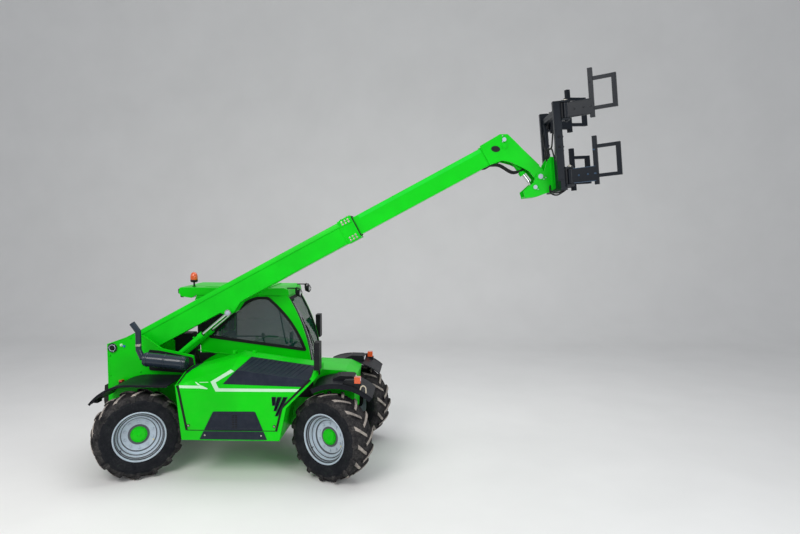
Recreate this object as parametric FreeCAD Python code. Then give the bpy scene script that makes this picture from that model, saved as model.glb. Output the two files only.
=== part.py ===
import FreeCAD, Part
import os
from math import atan2, cos, degrees, hypot, pi, radians, sin, sqrt
from FreeCAD import Vector as V

# Telehandler with a bale clamp, in millimetres.
# x runs forward from the middle of the wheelbase, y to the left, z up from the ground.
# Every solid is moved by origin_shift on export, so that the model's origin is the middle
# of its outline on the ground.
origin_shift = 1502

# Wheels and steering
wheelbase = 2860
front_axle_x = wheelbase / 2
rear_axle_x = -wheelbase / 2
kingpin_y = 803
wheel_offset = 130          # kingpin to the wheel's middle plane, along the axle
steer_angle = 30            # front wheels turned right, rear wheels turned left
tyre_radius = 605
tyre_width = 400
lug_height = 34
lug_count = 15              # on each half of the tread
lug_width = 48
bead_radius = 318
tyre_wall = 26
rim_flange_radius = 340
rim_wall = 9
hub_cap_radius = 110
running_gap = 0.3           # between a moving piece and its seat

# Axles
axle_z = tyre_radius
axle_tube_radius = 78
axle_case_radius = 175
kingpin_radius = 36
knuckle_radius = 72
knuckle_half = 92
fork_plate = 34
hub_radius = 148

# Frame
boom_y = -120               # the boom's middle plane
outer_width = 300
cylinder_room = 105         # on each side of the boom, inside the frame
frame_half = outer_width / 2 + cylinder_room - boom_y    # middle to a side plate's inner face
frame_left = outer_width / 2 + cylinder_room + boom_y    # middle to the left tower plate
plate = 25
frame_floor = 690
belly_plate = 12
nose_plate = 12
rail_top = 1000

# Boom, in its own axes: s along the boom from its pivot, t square to it
pivot_x = rear_axle_x - 540
pivot_z = 1715
boom_angle = 28.2
pivot_radius = 45
outer_length = 4030
outer_top = 48
outer_depth = 340
outer_wall = 12
inner_width = outer_width - 54
inner_top = outer_top - 32
inner_depth = outer_depth - 64
inner_wall = 10
inner_start = 2300
nose_start = 6165
nose_plate_thick = 24
pad_thick = 14
neck_pin_s = 6723           # carriage pin
neck_pin_t = -755
neck_pin_radius = 32
tilt_top_s = 6478           # upper pin of the tilt cylinder
tilt_top_t = -120
tilt_arm_u = -85            # lower pin of the tilt cylinder, from the carriage pin
tilt_arm_w = -145
tilt_barrel_radius = 46
tilt_rod_radius = 22
tilt_barrel_length = 500
tilt_pin_radius = 20
tilt_retract = 175

# Twin lift cylinders, one each side of the boom
lift_base_x = rear_axle_x - 50
lift_base_z = 1211
lift_eye_s = 1753
lift_eye_t = outer_top - outer_depth - 58
lift_side = outer_width / 2 + 50             # boom's middle to a lift cylinder's middle
lift_barrel_radius = 40
lift_rod_radius = 22
lift_barrel_length = 1090
lift_eye_radius = 47
lift_eye_width = 46
lift_retract = 360
lift_pin_radius = 22

# Clamp, in the carriage's own axes: u forward and w up from the carriage pin
carriage_tilt = 5
cheek_plate = 25
face_u = 205
post_u = 228
post_size = 105
post_side = 450             # boom's middle to a post's middle
post_low = -110
post_high = 985
tier_heights = {"upper": 848, "lower": -58}
arm_pin_u = 348
arm_side = 480
arm_splay = 25
arm_reach = 350
arm_height = 204
arm_thick = 60
grid_bar = 60
grid_low = -150
grid_high = 505
grid_rect_low = -55
grid_rect_high = 385
grid_depth = 330

# Cab
cab_right = 140
cab_left = 1065
cab_wall = 45
cab_floor = 690
roof_top = 2567
roof_thick = 118
glass = 6

# Engine bay on the right
bay_side = -1080
bay_inner = -frame_half - plate - 10
bay_wall = 16
cover_inner = -640          # inner edge of the hood's black cover
hood_skin = 14
bay_top = 1688             # at the bay's inner edge, where it is highest
hood_hinge_y = bay_inner - 24
hood_hinge_z = bay_top - 2
hood_hinges = (-130, 160)
rib_count = 13
hinge_tube = 12
hinge_pin = 6

# Fenders, fixed to the frame
fender_radius = 760          # front
rear_fender_radius = 715
fender_thick = 14
fender_skirt = 62
fender_width = 1060          # middle of the machine to the outer edge

# Exhaust
muffler_radius = 98
muffler_y = -700
muffler_x = (-1345, -760)
muffler_z = (1612, 1556)
pipe_radius = 41

Y_AXIS = V(0, 1, 0)
Z_AXIS = V(0, 0, 1)


# Shape helpers

def box(x, y, z):
    """Block between the pairs x, y and z."""
    return Part.makeBox(x[1] - x[0], y[1] - y[0], z[1] - z[0], V(x[0], y[0], z[0]))


def prism(points, y):
    """Outline of (x, z) points, drawn out between the pair y."""
    corners = [V(x, y[0], z) for x, z in points]
    face = Part.Face(Part.makePolygon(corners + corners[:1]))
    return face.extrude(V(0, y[1] - y[0], 0))


def rod(start, end, radius):
    return Part.makeCylinder(radius, (end - start).Length, start, end - start)


def pin(x, z, y, radius):
    """Cylinder across the machine at (x, z), between the pair y."""
    return Part.makeCylinder(radius, y[1] - y[0], V(x, y[0], z), Y_AXIS)


def ring(outer, inner, y, x=0.0, z=0.0):
    return pin(x, z, y, outer).cut(pin(x, z, y, inner))


def flat_turned(points, sides, spot):
    """Outline of (radius, distance) points turned about an axis in flat faces; spot gives a point's place."""
    faces = []
    outline = list(zip(points, points[1:] + points[:1]))
    for i in range(sides):
        near, far = 360 * i / sides, 360 * (i + 1) / sides
        for (r0, d0), (r1, d1) in outline:
            corners = [spot(near, r0, d0), spot(near, r1, d1)]
            if r1 > 0:
                corners.append(spot(far, r1, d1))
            if r0 > 0:
                corners.append(spot(far, r0, d0))
            if len(corners) > 2:
                faces.append(Part.Face(Part.makePolygon(corners + corners[:1])))
    shell = Part.makeShell(faces)
    shell.sewShape()
    solid = Part.makeSolid(shell)
    return solid if solid.Volume > 0 else solid.reversed()


def lathe(points, sides=36):
    """Outline of (radius, y) points turned about the y axis."""
    def spot(angle, r, y):
        return V(r * sin(radians(angle)), y, r * cos(radians(angle)))
    return flat_turned(points, sides, spot)


def spun(points, start, along):
    """Outline of (radius, distance) points turned about the line from start, which has no y."""
    across = along.cross(Y_AXIS)
    def spot(angle, r, distance):
        return (start + along * distance + Y_AXIS * (r * cos(radians(angle)))
                + across * (r * sin(radians(angle))))
    return flat_turned(points, 24, spot)


def fuse(shapes):
    first, rest = shapes[0], shapes[1:]
    return first.multiFuse(rest).removeSplitter() if rest else first


def group(shapes):
    return Part.makeCompound(shapes)


def moved(shape, x=0.0, y=0.0, z=0.0):
    copy = shape.copy()
    copy.translate(V(x, y, z))
    return copy


def turned(shape, angle, axis=Z_AXIS, centre=V(0, 0, 0)):
    copy = shape.copy()
    copy.rotate(centre, axis, angle)
    return copy


def mirrored(shape, y=0.0):
    return shape.mirror(V(0, y, 0), Y_AXIS)


def tube(width, top, depth, wall, s, middle_y):
    """Square tube along s, with its top at height top."""
    half = width / 2
    outside = box(s, (middle_y - half, middle_y + half), (top - depth, top))
    inside = box((s[0] - 1, s[1] + 1), (middle_y - half + wall, middle_y + half - wall),
                 (top - depth + wall, top - wall))
    return outside.cut(inside)


# Places of the tilted axes

def on_boom(shape):
    """From the boom's own axes (s, y, t) to the machine's."""
    return moved(turned(shape, -boom_angle, Y_AXIS), pivot_x, 0, pivot_z)


def boom_point(s, t, y=boom_y):
    a = radians(boom_angle)
    return V(pivot_x + s * cos(a) - t * sin(a), y, pivot_z + s * sin(a) + t * cos(a))


carriage_pin = boom_point(neck_pin_s, neck_pin_t)


def on_carriage(shape):
    """From the carriage's own axes (u, y, w) to the machine's."""
    return moved(turned(shape, -carriage_tilt, Y_AXIS), carriage_pin.x, 0, carriage_pin.z)


def carriage_point(u, w, y=boom_y):
    a = radians(carriage_tilt)
    return V(carriage_pin.x + u * cos(a) - w * sin(a), y, carriage_pin.z + u * sin(a) + w * cos(a))


def both_sides(half_width, thick):
    """Pairs of y for two plates whose outer faces are half_width from the boom's middle."""
    return ((boom_y - half_width, boom_y - half_width + thick),
            (boom_y + half_width - thick, boom_y + half_width))


# Wheels, built about the wheel's middle with the outside towards -y

def tyre():
    half = tyre_width / 2
    tread = tyre_radius - lug_height
    edge = half - 50
    sides = 2 * lug_count
    bead = bead_radius / cos(radians(180 / sides))
    outside = [(bead, -half + 50), (bead + 85, -half), (tread - 66, -half + 4), (tread, -edge)]
    inside = [(bead, half - 50 - tyre_wall), (bead + 100, half - tyre_wall)]
    profile = outside + [(r, -y) for r, y in reversed(outside)]
    profile += inside + [(r, -y) for r, y in reversed(inside)]
    carcass = lathe(profile, sides)
    step = 360 / lug_count
    right = [turned(lug(), i * step, Y_AXIS) for i in range(lug_count)]
    left = [turned(mirrored(lug()), (i + 0.5) * step, Y_AXIS) for i in range(lug_count)]
    return carcass.multiFuse(right + left).removeSplitter()


def lug():
    """Slanted bar of the tread's right half, from the middle over the shoulder."""
    half = tyre_width / 2
    tread = tyre_radius - lug_height
    # y, top and foot radii, angle of the middle about the axle, half width
    stations = [(-8, tyre_radius, tread - 14, 8, lug_width / 2), (-half + 70, tyre_radius, tread - 14, -5, lug_width / 2),
                (-half + 12, tyre_radius - 30, tread - 90, -9, lug_width / 2 + 2)]
    rings = []
    for y, top, foot, angle, wide in stations:
        a = radians(angle)
        along, out = V(cos(a), 0, -sin(a)), V(sin(a), 0, cos(a))
        middle = V(0, y, 0)
        rings.append([middle + out * foot - along * wide, middle + out * top - along * (wide - 5),
                      middle + out * top + along * (wide - 5), middle + out * foot + along * wide])
    faces = [rings[0], rings[-1]]
    for near, far in zip(rings, rings[1:]):
        for i in range(4):
            j = (i + 1) % 4
            faces += [[near[i], near[j], far[j]], [near[i], far[j], far[i]]]
    shell = Part.makeShell([Part.Face(Part.makePolygon(f + f[:1])) for f in faces])
    shell.sewShape()
    solid = Part.makeSolid(shell)
    return solid if solid.Volume > 0 else solid.reversed()


def rim():
    half = tyre_width / 2
    seat = bead_radius - running_gap
    base = seat - 12
    lip = half - 30
    barrel = lathe([(base, -lip), (rim_flange_radius, -lip - 4), (rim_flange_radius, -lip + 6),
                    (seat, -lip + 12), (seat, lip - 12), (rim_flange_radius, lip - 6),
                    (rim_flange_radius, lip + 4), (base, lip)])
    face = [(base + 2, -128), (286, -116), (272, -72), (240, -64), (228, -36), (hub_cap_radius - 30, -36)]
    dish = lathe(face + [(r - 4, y + rim_wall) for r, y in reversed(face)])
    cap = lathe([(0, -66), (hub_cap_radius - 24, -66), (hub_cap_radius, -48), (hub_cap_radius, -27), (0, -27)])
    return barrel.fuse([dish, cap])


def knuckle():
    """Hub carrier about its kingpin, with the wheel towards -y."""
    reach = wheel_offset + 27 - running_gap
    swivel = rod(V(0, 0, -knuckle_half), V(0, 0, knuckle_half), knuckle_radius)
    length = knuckle_half + fork_plate
    kingpin = rod(V(0, 0, -length), V(0, 0, length), kingpin_radius)
    drum = pin(0, 0, (-reach, -98), hub_radius)
    neck = pin(0, 0, (-99, 0), knuckle_radius - 10)
    arm = box((-190, 0), (-40, 10), (-24, 24))
    return fuse([swivel, kingpin, drum, neck, arm])


def axle():
    """Rigid axle across the middle of the machine, its forks open outwards."""
    fork_end = kingpin_y + 62
    wall = kingpin_y - 112
    gap = knuckle_half + 0.5
    case = lathe([(0, -wall), (axle_tube_radius, -wall), (axle_tube_radius, -280), (130, -230),
                  (axle_case_radius, -90), (axle_case_radius, 90), (130, 230), (axle_tube_radius, 280),
                  (axle_tube_radius, wall), (0, wall)])
    solids = [case]
    for side in (-1, 1):
        inner, outer = sorted((side * (wall - 30), side * wall))
        top = gap + fork_plate
        back = box((-66, 66), (inner, outer), (-top, top))
        reach = sorted((side * (wall - 30), side * fork_end))
        for low in (-top, gap):
            leaf = box((-66, 66), reach, (low, low + fork_plate))
            leaf = leaf.cut(rod(V(0, side * kingpin_y, low - 1), V(0, side * kingpin_y, low + fork_plate + 1),
                                kingpin_radius + running_gap))
            solids.append(leaf)
        pad = sorted((side * (frame_half + plate), side * (frame_half - 45)))
        solids += [back, box((-90, 90), pad, (0, frame_floor - axle_z))]
    return fuse(solids)


corners = {
    "front_right": (1, -1), "front_left": (1, 1), "rear_right": (-1, -1), "rear_left": (-1, 1),
}


def kingpin_place(end, side):
    return V(end * wheelbase / 2, side * kingpin_y, axle_z)


def steered(shape, end, side):
    """Set a right-hand shape about its kingpin onto one corner of the machine."""
    if side > 0:
        shape = mirrored(shape)
    place = kingpin_place(end, side)
    return moved(turned(shape, -end * steer_angle), place.x, place.y, place.z)


# Chassis

def side_plate(y, points):
    return prism(points, (y, y + plate))


def frame():
    low, sunk, nose = frame_floor - 2 - belly_plate, frame_floor - 110, front_axle_x - 410
    r = rear_axle_x
    tower = [(r - 628, frame_floor + 210), (r - 628, 1770), (r - 226, 1912), (r - 70, 1895), (r + 200, 1708),
             (-760, 1606), (-700, rail_top), (-640, frame_floor), (r + 180, frame_floor),
             (r + 180, frame_floor + 60), (r + 100, frame_floor + 60), (r + 100, frame_floor),
             (r - 90, frame_floor), (r - 210, frame_floor + 210)]
    rail = [(-700, frame_floor), (-700, rail_top), (nose, rail_top), (nose, frame_floor)]
    right = fuse([side_plate(-frame_half - plate, tower), side_plate(-frame_half - plate, rail)])
    left_tower = [(r - 628, 900), (r - 628, 1770), (r - 226, 1912), (r - 70, 1895), (r + 160, 1725),
                  (r + 160, rail_top), (r - 210, 900)]
    left_rail = [(r - 628, 900), (r - 628, rail_top), (r + 240, rail_top), (r + 240, low), (960, low),
                 (960, rail_top), (nose, rail_top), (nose, sunk), (r + 200, sunk), (r + 160, 900)]
    left = fuse([side_plate(frame_left, left_tower), side_plate(frame_half, left_rail)])
    hole = pin(pivot_x, pivot_z, (-frame_half - 60, frame_half), pivot_radius)
    deck = box((r - 628, r + 184), (frame_left, frame_half + plate), (rail_top, rail_top + 12))
    rear = box((r - 628, r - 606), (-frame_half, frame_half), (900, 1180))
    belly = box((-1080, 1080), (-frame_half, frame_half + plate), (low, frame_floor - 2))
    sill = box((-700, nose), (-frame_half - plate, -frame_half), (sunk, frame_floor))
    base = pin(lift_base_x, lift_base_z, (-frame_half, frame_left), lift_pin_radius)
    wall = box((r + 160, r + 184), (-frame_half, frame_half), (frame_floor + belly_plate + 90, rail_top + 6))
    pads = []
    for x in (r + 750, front_axle_x - 800):
        pads.append(box((x, x + 70), (bay_inner + 0.3, -frame_half - plate), (730, 980)))
    for side in (-1, 1):
        y = sorted((side * (frame_half + plate), side * (frame_half + plate + 12)))
        pads.append(box((r - 130, r + 130), y, (930, axle_z + rear_fender_radius - fender_thick - 12)))
    body = fuse([right, left, deck, rear, belly, wall, sill] + pads)
    return body.cut(hole).fuse(base)


def front_frame():
    """Welded nose that carries the front axle."""
    f = front_axle_x
    side = [(f - 410, frame_floor), (f - 410, 1425), (f + 60, 1400), (f + 220, 1322), (f + 200, 1180),
            (f + 180, frame_floor)]
    outside = prism(side, (-frame_half - plate, frame_half + plate))
    inner = [(f - 430, frame_floor - 20), (f - 430, 1425 - nose_plate), (f + 56, 1400 - nose_plate),
             (f + 220 - nose_plate, 1314), (f + 200 - nose_plate, 1180), (f + 180 - nose_plate, frame_floor - 20)]
    return outside.cut(prism(inner, (-frame_half, frame_half)))


# Boom

def boom_outer():
    half = outer_width / 2
    body = tube(outer_width, outer_top, outer_depth, outer_wall, (150, outer_length - 210), boom_y)
    collar = tube(outer_width + 24, outer_top + 12, outer_depth + 24, outer_wall + 12,
                  (outer_length - 210, outer_length), boom_y)
    ears = []
    for y in both_sides(half, 24):
        ear = [(-95, -80), (-70, 40), (60, outer_top + 10), (420, outer_top), (420, outer_top - outer_depth),
               (190, outer_top - outer_depth), (0, -110)]
        ears.append(prism(ear, y))
    back = box((150, 162), (boom_y - half, boom_y + half), (outer_top - outer_depth, outer_top))
    bracket = []
    for y in both_sides(half, 20):
        outline = [(lift_eye_s - 130, outer_top - outer_depth + 1), (lift_eye_s - 40, lift_eye_t - 35),
                   (lift_eye_s + 50, lift_eye_t - 35), (lift_eye_s + 230, outer_top - outer_depth + 1)]
        bracket.append(prism(outline, y))
    for side in (-1, 1):
        face = side * half
        tip = side * (lift_side - lift_eye_width / 2 - 5)
        y = sorted((boom_y + face, boom_y + tip))
        bracket.append(pin(lift_eye_s, lift_eye_t, y, 30))
    body = fuse([body, collar, back] + ears + bracket)
    axle_hole = pin(0, 0, (boom_y - half - 1, boom_y + half + 1), pivot_radius)
    return on_boom(body.cut(axle_hole))


def boom_pads():
    """Slide pads in the collar, between the two boom sections."""
    gap = running_gap
    half_in = inner_width / 2
    half_out = (outer_width + 24) / 2 - outer_wall - 12
    start, end = outer_length - 190, outer_length - 20
    top_in, low_in = inner_top, inner_top - inner_depth
    top_out = outer_top + 12 - outer_wall - 12
    low_out = outer_top + 12 - outer_depth - 24 + outer_wall + 12
    pads = []
    for side in (-1, 1):
        y = sorted((boom_y + side * (half_in + gap), boom_y + side * half_out))
        pads.append(box((start, end), y, (low_in + 20, top_in - 20)))
    middle = (boom_y - half_in + 20, boom_y + half_in - 20)
    pads.append(box((start, end), middle, (top_in + gap, top_out)))
    pads.append(box((start, end), middle, (low_out, low_in - gap)))
    return on_boom(group(pads))


def boom_pivot():
    """Pin that carries the boom between the two tower plates."""
    shaft = pin(pivot_x, pivot_z, (-frame_half - plate - 22, frame_left + plate + 22),
                pivot_radius - running_gap)
    caps = [pin(pivot_x, pivot_z, (-frame_half - plate - 22, -frame_half - plate), pivot_radius + 22),
            pin(pivot_x, pivot_z, (frame_left + plate, frame_left + plate + 22), pivot_radius + 22)]
    return fuse([shaft] + caps)


def neck_outline():
    """Side of the boom's head: nose, then the neck down to the carriage pin."""
    low = inner_top - inner_depth
    return [(nose_start, low - 4), (nose_start, inner_top + 30), (nose_start + 330, inner_top + 42),
            (nose_start + 430, inner_top - 10), (nose_start + 470, inner_top - 130),
            (neck_pin_s + 82, neck_pin_t + 70), (neck_pin_s + 72, neck_pin_t - 46),
            (neck_pin_s, neck_pin_t - 78), (neck_pin_s - 72, neck_pin_t - 30),
            (neck_pin_s - 104, neck_pin_t + 150), (nose_start + 300, low - 130), (nose_start + 190, low - 30)]


def boom_inner():
    body = tube(inner_width, inner_top, inner_depth, inner_wall, (inner_start, nose_start + 210), boom_y)
    solids = [body]
    reach = inner_width / 2 + nose_plate_thick
    for y in both_sides(reach, nose_plate_thick):
        side = prism(neck_outline(), y)
        eye = pin(nose_start + 172, inner_top - 100, (y[0] - 1, y[1] + 1), 34)
        slot = eye.fuse(pin(nose_start + 196, inner_top - 118, (y[0] - 1, y[1] + 1), 34))
        solids.append(side.cut(slot))
    across = (boom_y - inner_width / 2, boom_y + inner_width / 2)
    web = [(nose_start + 430, inner_top - 10), (nose_start + 470, inner_top - 130),
           (neck_pin_s + 74, neck_pin_t + 150), (neck_pin_s + 54, neck_pin_t + 150),
           (nose_start + 448, inner_top - 132), (nose_start + 410, inner_top - 12)]
    solids.append(prism(web, across))
    solids.append(pin(tilt_top_s, tilt_top_t, across, tilt_pin_radius))
    body = fuse(solids)
    pins = pin(neck_pin_s, neck_pin_t, (boom_y - 400, boom_y + 400), neck_pin_radius)
    return on_boom(body.cut(pins))


# Cylinders: a barrel hinged at its base, and a rod that slides out of it

def cylinder_pair(start, end, barrel_length, barrel_radius, rod_radius, eye_radius, eye_width,
                  retract, head_length=70):
    """Barrel and rod between two pins; the piston can move back by retract."""
    along = (end - start).normalize()
    bore, collar, floor = barrel_radius - 9, barrel_radius + 9, eye_radius + 14
    neck, mouth = barrel_length - head_length, barrel_length
    slip = rod_radius + running_gap
    barrel = spun([(0, 0), (barrel_radius, 0), (barrel_radius, neck), (collar, neck), (collar, mouth),
                   (slip, mouth), (slip, neck + 8), (bore, neck + 8), (bore, floor), (0, floor)],
                  start, along)
    base = pin(start.x, start.z, (start.y - eye_width / 2, start.y + eye_width / 2), eye_radius)
    piston, reach = floor + 12 + retract, (end - start).Length - eye_radius + 6
    head = bore - running_gap
    shaft = spun([(0, piston), (head, piston), (head, piston + 60), (rod_radius, piston + 60),
                  (rod_radius, reach), (0, reach)], start, along)
    eye = pin(end.x, end.z, (end.y - eye_width / 2, end.y + eye_width / 2), eye_radius)
    return fuse([barrel, base]), fuse([shaft, eye])


def lift_cylinders():
    barrels, rods = [], []
    for side in (-1, 1):
        y = boom_y + side * lift_side
        start = V(lift_base_x, y, lift_base_z)
        end = boom_point(lift_eye_s, lift_eye_t, y)
        barrel, shaft = cylinder_pair(start, end, lift_barrel_length, lift_barrel_radius,
                                      lift_rod_radius, lift_eye_radius, lift_eye_width, lift_retract)
        hole = pin(start.x, start.z, (y - 60, y + 60), lift_pin_radius + running_gap)
        barrels.append(barrel.cut(hole))
        rods.append(shaft)
    return group(barrels), group(rods)


def tilt_cylinder():
    start = boom_point(tilt_top_s, tilt_top_t)
    end = carriage_point(tilt_arm_u, tilt_arm_w)
    barrel, shaft = cylinder_pair(start, end, tilt_barrel_length, tilt_barrel_radius,
                                  tilt_rod_radius, 42, 70, tilt_retract, 50)
    hole = pin(start.x, start.z, (boom_y - 80, boom_y + 80), tilt_pin_radius + running_gap)
    return barrel.cut(hole), shaft


# Carriage and clamp

def carriage():
    outline = [(tilt_arm_u - 175, tilt_arm_w - 45), (tilt_arm_u - 155, tilt_arm_w - 140),
               (tilt_arm_u + 5, tilt_arm_w - 140), (120, -232), (face_u, -186), (face_u, 262), (face_u - 45, 268),
               (95, 185), (62, 80), (20, 62), (-40, 52), (-68, 0), (-100, -70)]
    reach = inner_width / 2 + nose_plate_thick + 5 + cheek_plate
    solids = []
    for y in both_sides(reach, cheek_plate):
        solids.append(prism(outline, y))
    across = (boom_y - reach, boom_y + reach)
    solids.append(box((face_u - 26, face_u), across, (-186, 262)))
    solids.append(prism([(tilt_arm_u - 150, tilt_arm_w - 118), (tilt_arm_u - 150, tilt_arm_w - 140),
                         (tilt_arm_u + 5, tilt_arm_w - 140), (120, -232), (120, -210),
                         (tilt_arm_u + 5, tilt_arm_w - 118)], across))
    solids.append(pin(0, 0, across, neck_pin_radius - running_gap))
    for side in (-1, 1):
        y = sorted((boom_y + side * 40, boom_y + side * 60))
        solids.append(prism([(tilt_arm_u - 55, tilt_arm_w + 40), (tilt_arm_u - 55, tilt_arm_w - 130),
                             (tilt_arm_u + 60, tilt_arm_w - 130), (tilt_arm_u + 50, tilt_arm_w + 40)], y))
    return on_carriage(fuse(solids))


def clamp_frame():
    half = post_size / 2
    posts = []
    for side in (-1, 1):
        middle = boom_y + side * post_side
        posts.append(box((post_u - half, post_u + half), (middle - 40, middle + 40), (post_low, post_high)))
        for w in tier_heights.values():
            for level in (w - arm_height / 2 - 32, w + arm_height / 2 + 6):
                y = sorted((middle - side * 40, boom_y + side * (arm_side + 45)))
                posts.append(box((post_u + half, arm_pin_u + 48), y, (level, level + 26)))
    span = (boom_y - post_side - 40, boom_y + post_side + 40)
    low = box((face_u + 1, arm_pin_u - 50), span, (post_low - 130, post_low))
    high = box((post_u - 20, post_u + 40), span, (post_high - 170, post_high - 90))
    back = box((face_u, face_u + 26), (boom_y - 260, boom_y + 260), (post_low - 40, 262))
    brace = []
    for side in (-1, 1):
        foot = V(post_u, boom_y + side * 240, 250)
        head = V(post_u, boom_y + side * (post_side - 45), post_high - 160)
        brace.append(rod(foot, head, 24))
    cross = box((post_u - 22, post_u + 30), span, (205, 262))
    body = fuse(posts + [low, high, back, cross] + brace)
    for side in (-1, 1):
        y = boom_y + side * arm_side
        body = body.fuse(rod(V(arm_pin_u, y, post_low - 60), V(arm_pin_u, y, 100), 20))
        body = body.fuse(rod(V(arm_pin_u, y, 690), V(arm_pin_u, y, 1010), 20))
    return on_carriage(body)


def clamp_arm(side, middle):
    """Arm with its grip, straight ahead of its pin, then splayed."""
    half = arm_height / 2
    thick = arm_thick / 2
    plate_end = arm_reach - grid_bar / 2
    boss = rod(V(0, 0, -half), V(0, 0, half), 42)
    leaf = box((0, plate_end), (-thick, thick), (-half, half))
    bar = box((plate_end, plate_end + grid_bar), (-thick, thick), (grid_low, grid_high))
    outer = arm_reach + grid_depth
    upright = box((outer - grid_bar, outer), (-thick, thick), (grid_rect_low, grid_rect_high))
    rails = [box((plate_end + 10, outer - 10), (-thick + 8, thick - 8), (w, w + 46))
             for w in (grid_rect_low, grid_rect_high - 46)]
    body = fuse([boss, leaf, bar, upright] + rails)
    body = body.cut(rod(V(0, 0, -half - 1), V(0, 0, half + 1), 20 + running_gap))
    body = turned(body, side * arm_splay)
    return on_carriage(moved(body, arm_pin_u, boom_y + side * arm_side, middle))


# Cab

def arc(start, through, end, y=0.0):
    points = [V(x, y, z) for x, z in (start, through, end)]
    return Part.Arc(*points).toShape()


def line(start, end, y=0.0):
    return Part.LineSegment(V(start[0], y, start[1]), V(end[0], y, end[1])).toShape()


def cab_solid(inset):
    """Cab's block, its faces set in by inset; the windscreen side is one arc."""
    low, high = cab_floor + inset, roof_top - roof_thick - inset
    front_low = (725 - inset, low)
    sill = (890 - inset, 1330)
    brow = (520 - inset, high)
    bulge = (782 - inset, 1880)
    back_high = (-905 + inset, high)
    back_knee, back_low = (-806 + inset, 930), (-705 + inset, low)
    edges = [line(back_high, brow), arc(brow, bulge, sill), line(sill, front_low),
             line(front_low, back_low), line(back_low, back_knee), line(back_knee, back_high)]
    face = Part.Face(Part.Wire(edges))
    block = face.extrude(V(0, cab_left - cab_right - 2 * inset, 0))
    return moved(block, 0, cab_right + inset)


def window_right(y):
    low_rear, high_rear = (-722, 1791), (-170, 2298)
    high_front, low_front = (225, 2405), (801, 1590)
    edges = [line(low_rear, high_rear), arc(high_rear, (10, 2398), high_front),
             arc(high_front, (566, 2045), low_front), line(low_front, low_rear)]
    face = Part.Face(Part.Wire(edges))
    return moved(face.extrude(V(0, y[1] - y[0], 0)), 0, y[0])


def doorway(inset, y):
    low_rear, high_rear = (-640 + inset, 775 + inset), (-640 + inset, 2385 - inset)
    high_front, knee = (420 - inset, 2385 - inset), (812 - inset, 1400)
    low_front = (690 - inset, 775 + inset)
    edges = [line(low_rear, high_rear), line(high_rear, high_front),
             arc(high_front, (700 - inset, 1905), knee), line(knee, low_front), line(low_front, low_rear)]
    face = Part.Face(Part.Wire(edges))
    return moved(face.extrude(V(0, y[1] - y[0], 0)), 0, y[0])


windscreen_room = ((300, 950), (cab_right + 60, cab_left - 60), (1352, 2400))
rear_window_room = ((-1000, -700), (cab_right + 90, cab_left - 90), (1650, 2380))


def cab_shell():
    shell = cab_solid(0).cut(cab_solid(cab_wall))
    shell = shell.cut(window_right((cab_right - 1, cab_right + cab_wall + 1)))
    shell = shell.cut(doorway(0, (cab_left - cab_wall - 1, cab_left + 1)))
    shell = shell.cut(box(*windscreen_room)).cut(box(*rear_window_room))
    lugs = []
    for z in (1000, 2150):
        lugs.append(box((-700, -641), (cab_left, cab_left + 24), (z - 60, z - 36)))
        lugs.append(rod(V(-656, cab_left + 14, z - 60), V(-656, cab_left + 14, z + 40), 7))
    return fuse([shell] + lugs)


def cab_door():
    leaf = doorway(6, (cab_left - cab_wall, cab_left))
    pane = doorway(62, (cab_left - cab_wall - 1, cab_left + 1))
    low_panel = box((-700, 900), (cab_left - cab_wall, cab_left), (775, 1010))
    leaf = leaf.cut(pane).fuse(low_panel.common(doorway(6, (cab_left - cab_wall, cab_left))))
    for z in (1000, 2150):
        strap = box((-650, -560), (cab_left, cab_left + 10), (z - 34, z + 34))
        knuckle_tube = rod(V(-656, cab_left + 14, z - 34), V(-656, cab_left + 14, z + 34), 13.5)
        leaf = leaf.fuse([strap, knuckle_tube])
        leaf = leaf.cut(rod(V(-656, cab_left + 14, z - 35), V(-656, cab_left + 14, z + 35), 7 + running_gap))
    handle = box((724, 752), (cab_left - 2, cab_left + 28), (1180, 1320))
    return leaf.fuse(handle).removeSplitter()


def door_glass():
    pane = doorway(62, (cab_left - 26, cab_left - 26 + glass))
    return pane.cut(box((-700, 900), (cab_left - 60, cab_left + 10), (700, 1010)))


def cab_glass():
    right = window_right((cab_right + 10, cab_right + 10 + glass))
    layer = cab_solid(8).cut(cab_solid(8 + glass))
    screen = layer.common(box(*windscreen_room))
    rear = layer.common(box(*rear_window_room))
    return group([right, screen, rear])


def cab_roof():
    top, low = roof_top, roof_top - roof_thick
    outline = [(-1172, top - 12), (-1150, top), (470, top - 8), (540, top - 40), (556, low),
               (-905, low), (-980, low - 46), (-1140, low - 20), (-1180, low + 30)]
    slab = prism(outline, (cab_right - 14, cab_left + 14))
    return slab.cut(cab_solid(0))


def seat():
    base = box((-380, 60), (440, 780), (cab_floor + cab_wall, 1080))
    cushion = box((-430, 110), (400, 820), (1080, 1210))
    back = turned(box((-540, -430), (420, 800), (1204, 1800)), -8, Y_AXIS, V(-430, 0, 1212))
    rest = box((-600, -500), (500, 720), (1830, 2010))
    stem = box((-560, -540), (570, 650), (1780, 1835))
    arms = box((-380, 60), (330, 396), (1290, 1350))
    arm_post = box((-380, -320), (340, 386), (cab_floor + cab_wall, 1290))
    arm_link = box((-380, -320), (386, 440), (860, 930))
    return fuse([base, cushion, back, rest, stem, arms, arm_post, arm_link])


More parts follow.
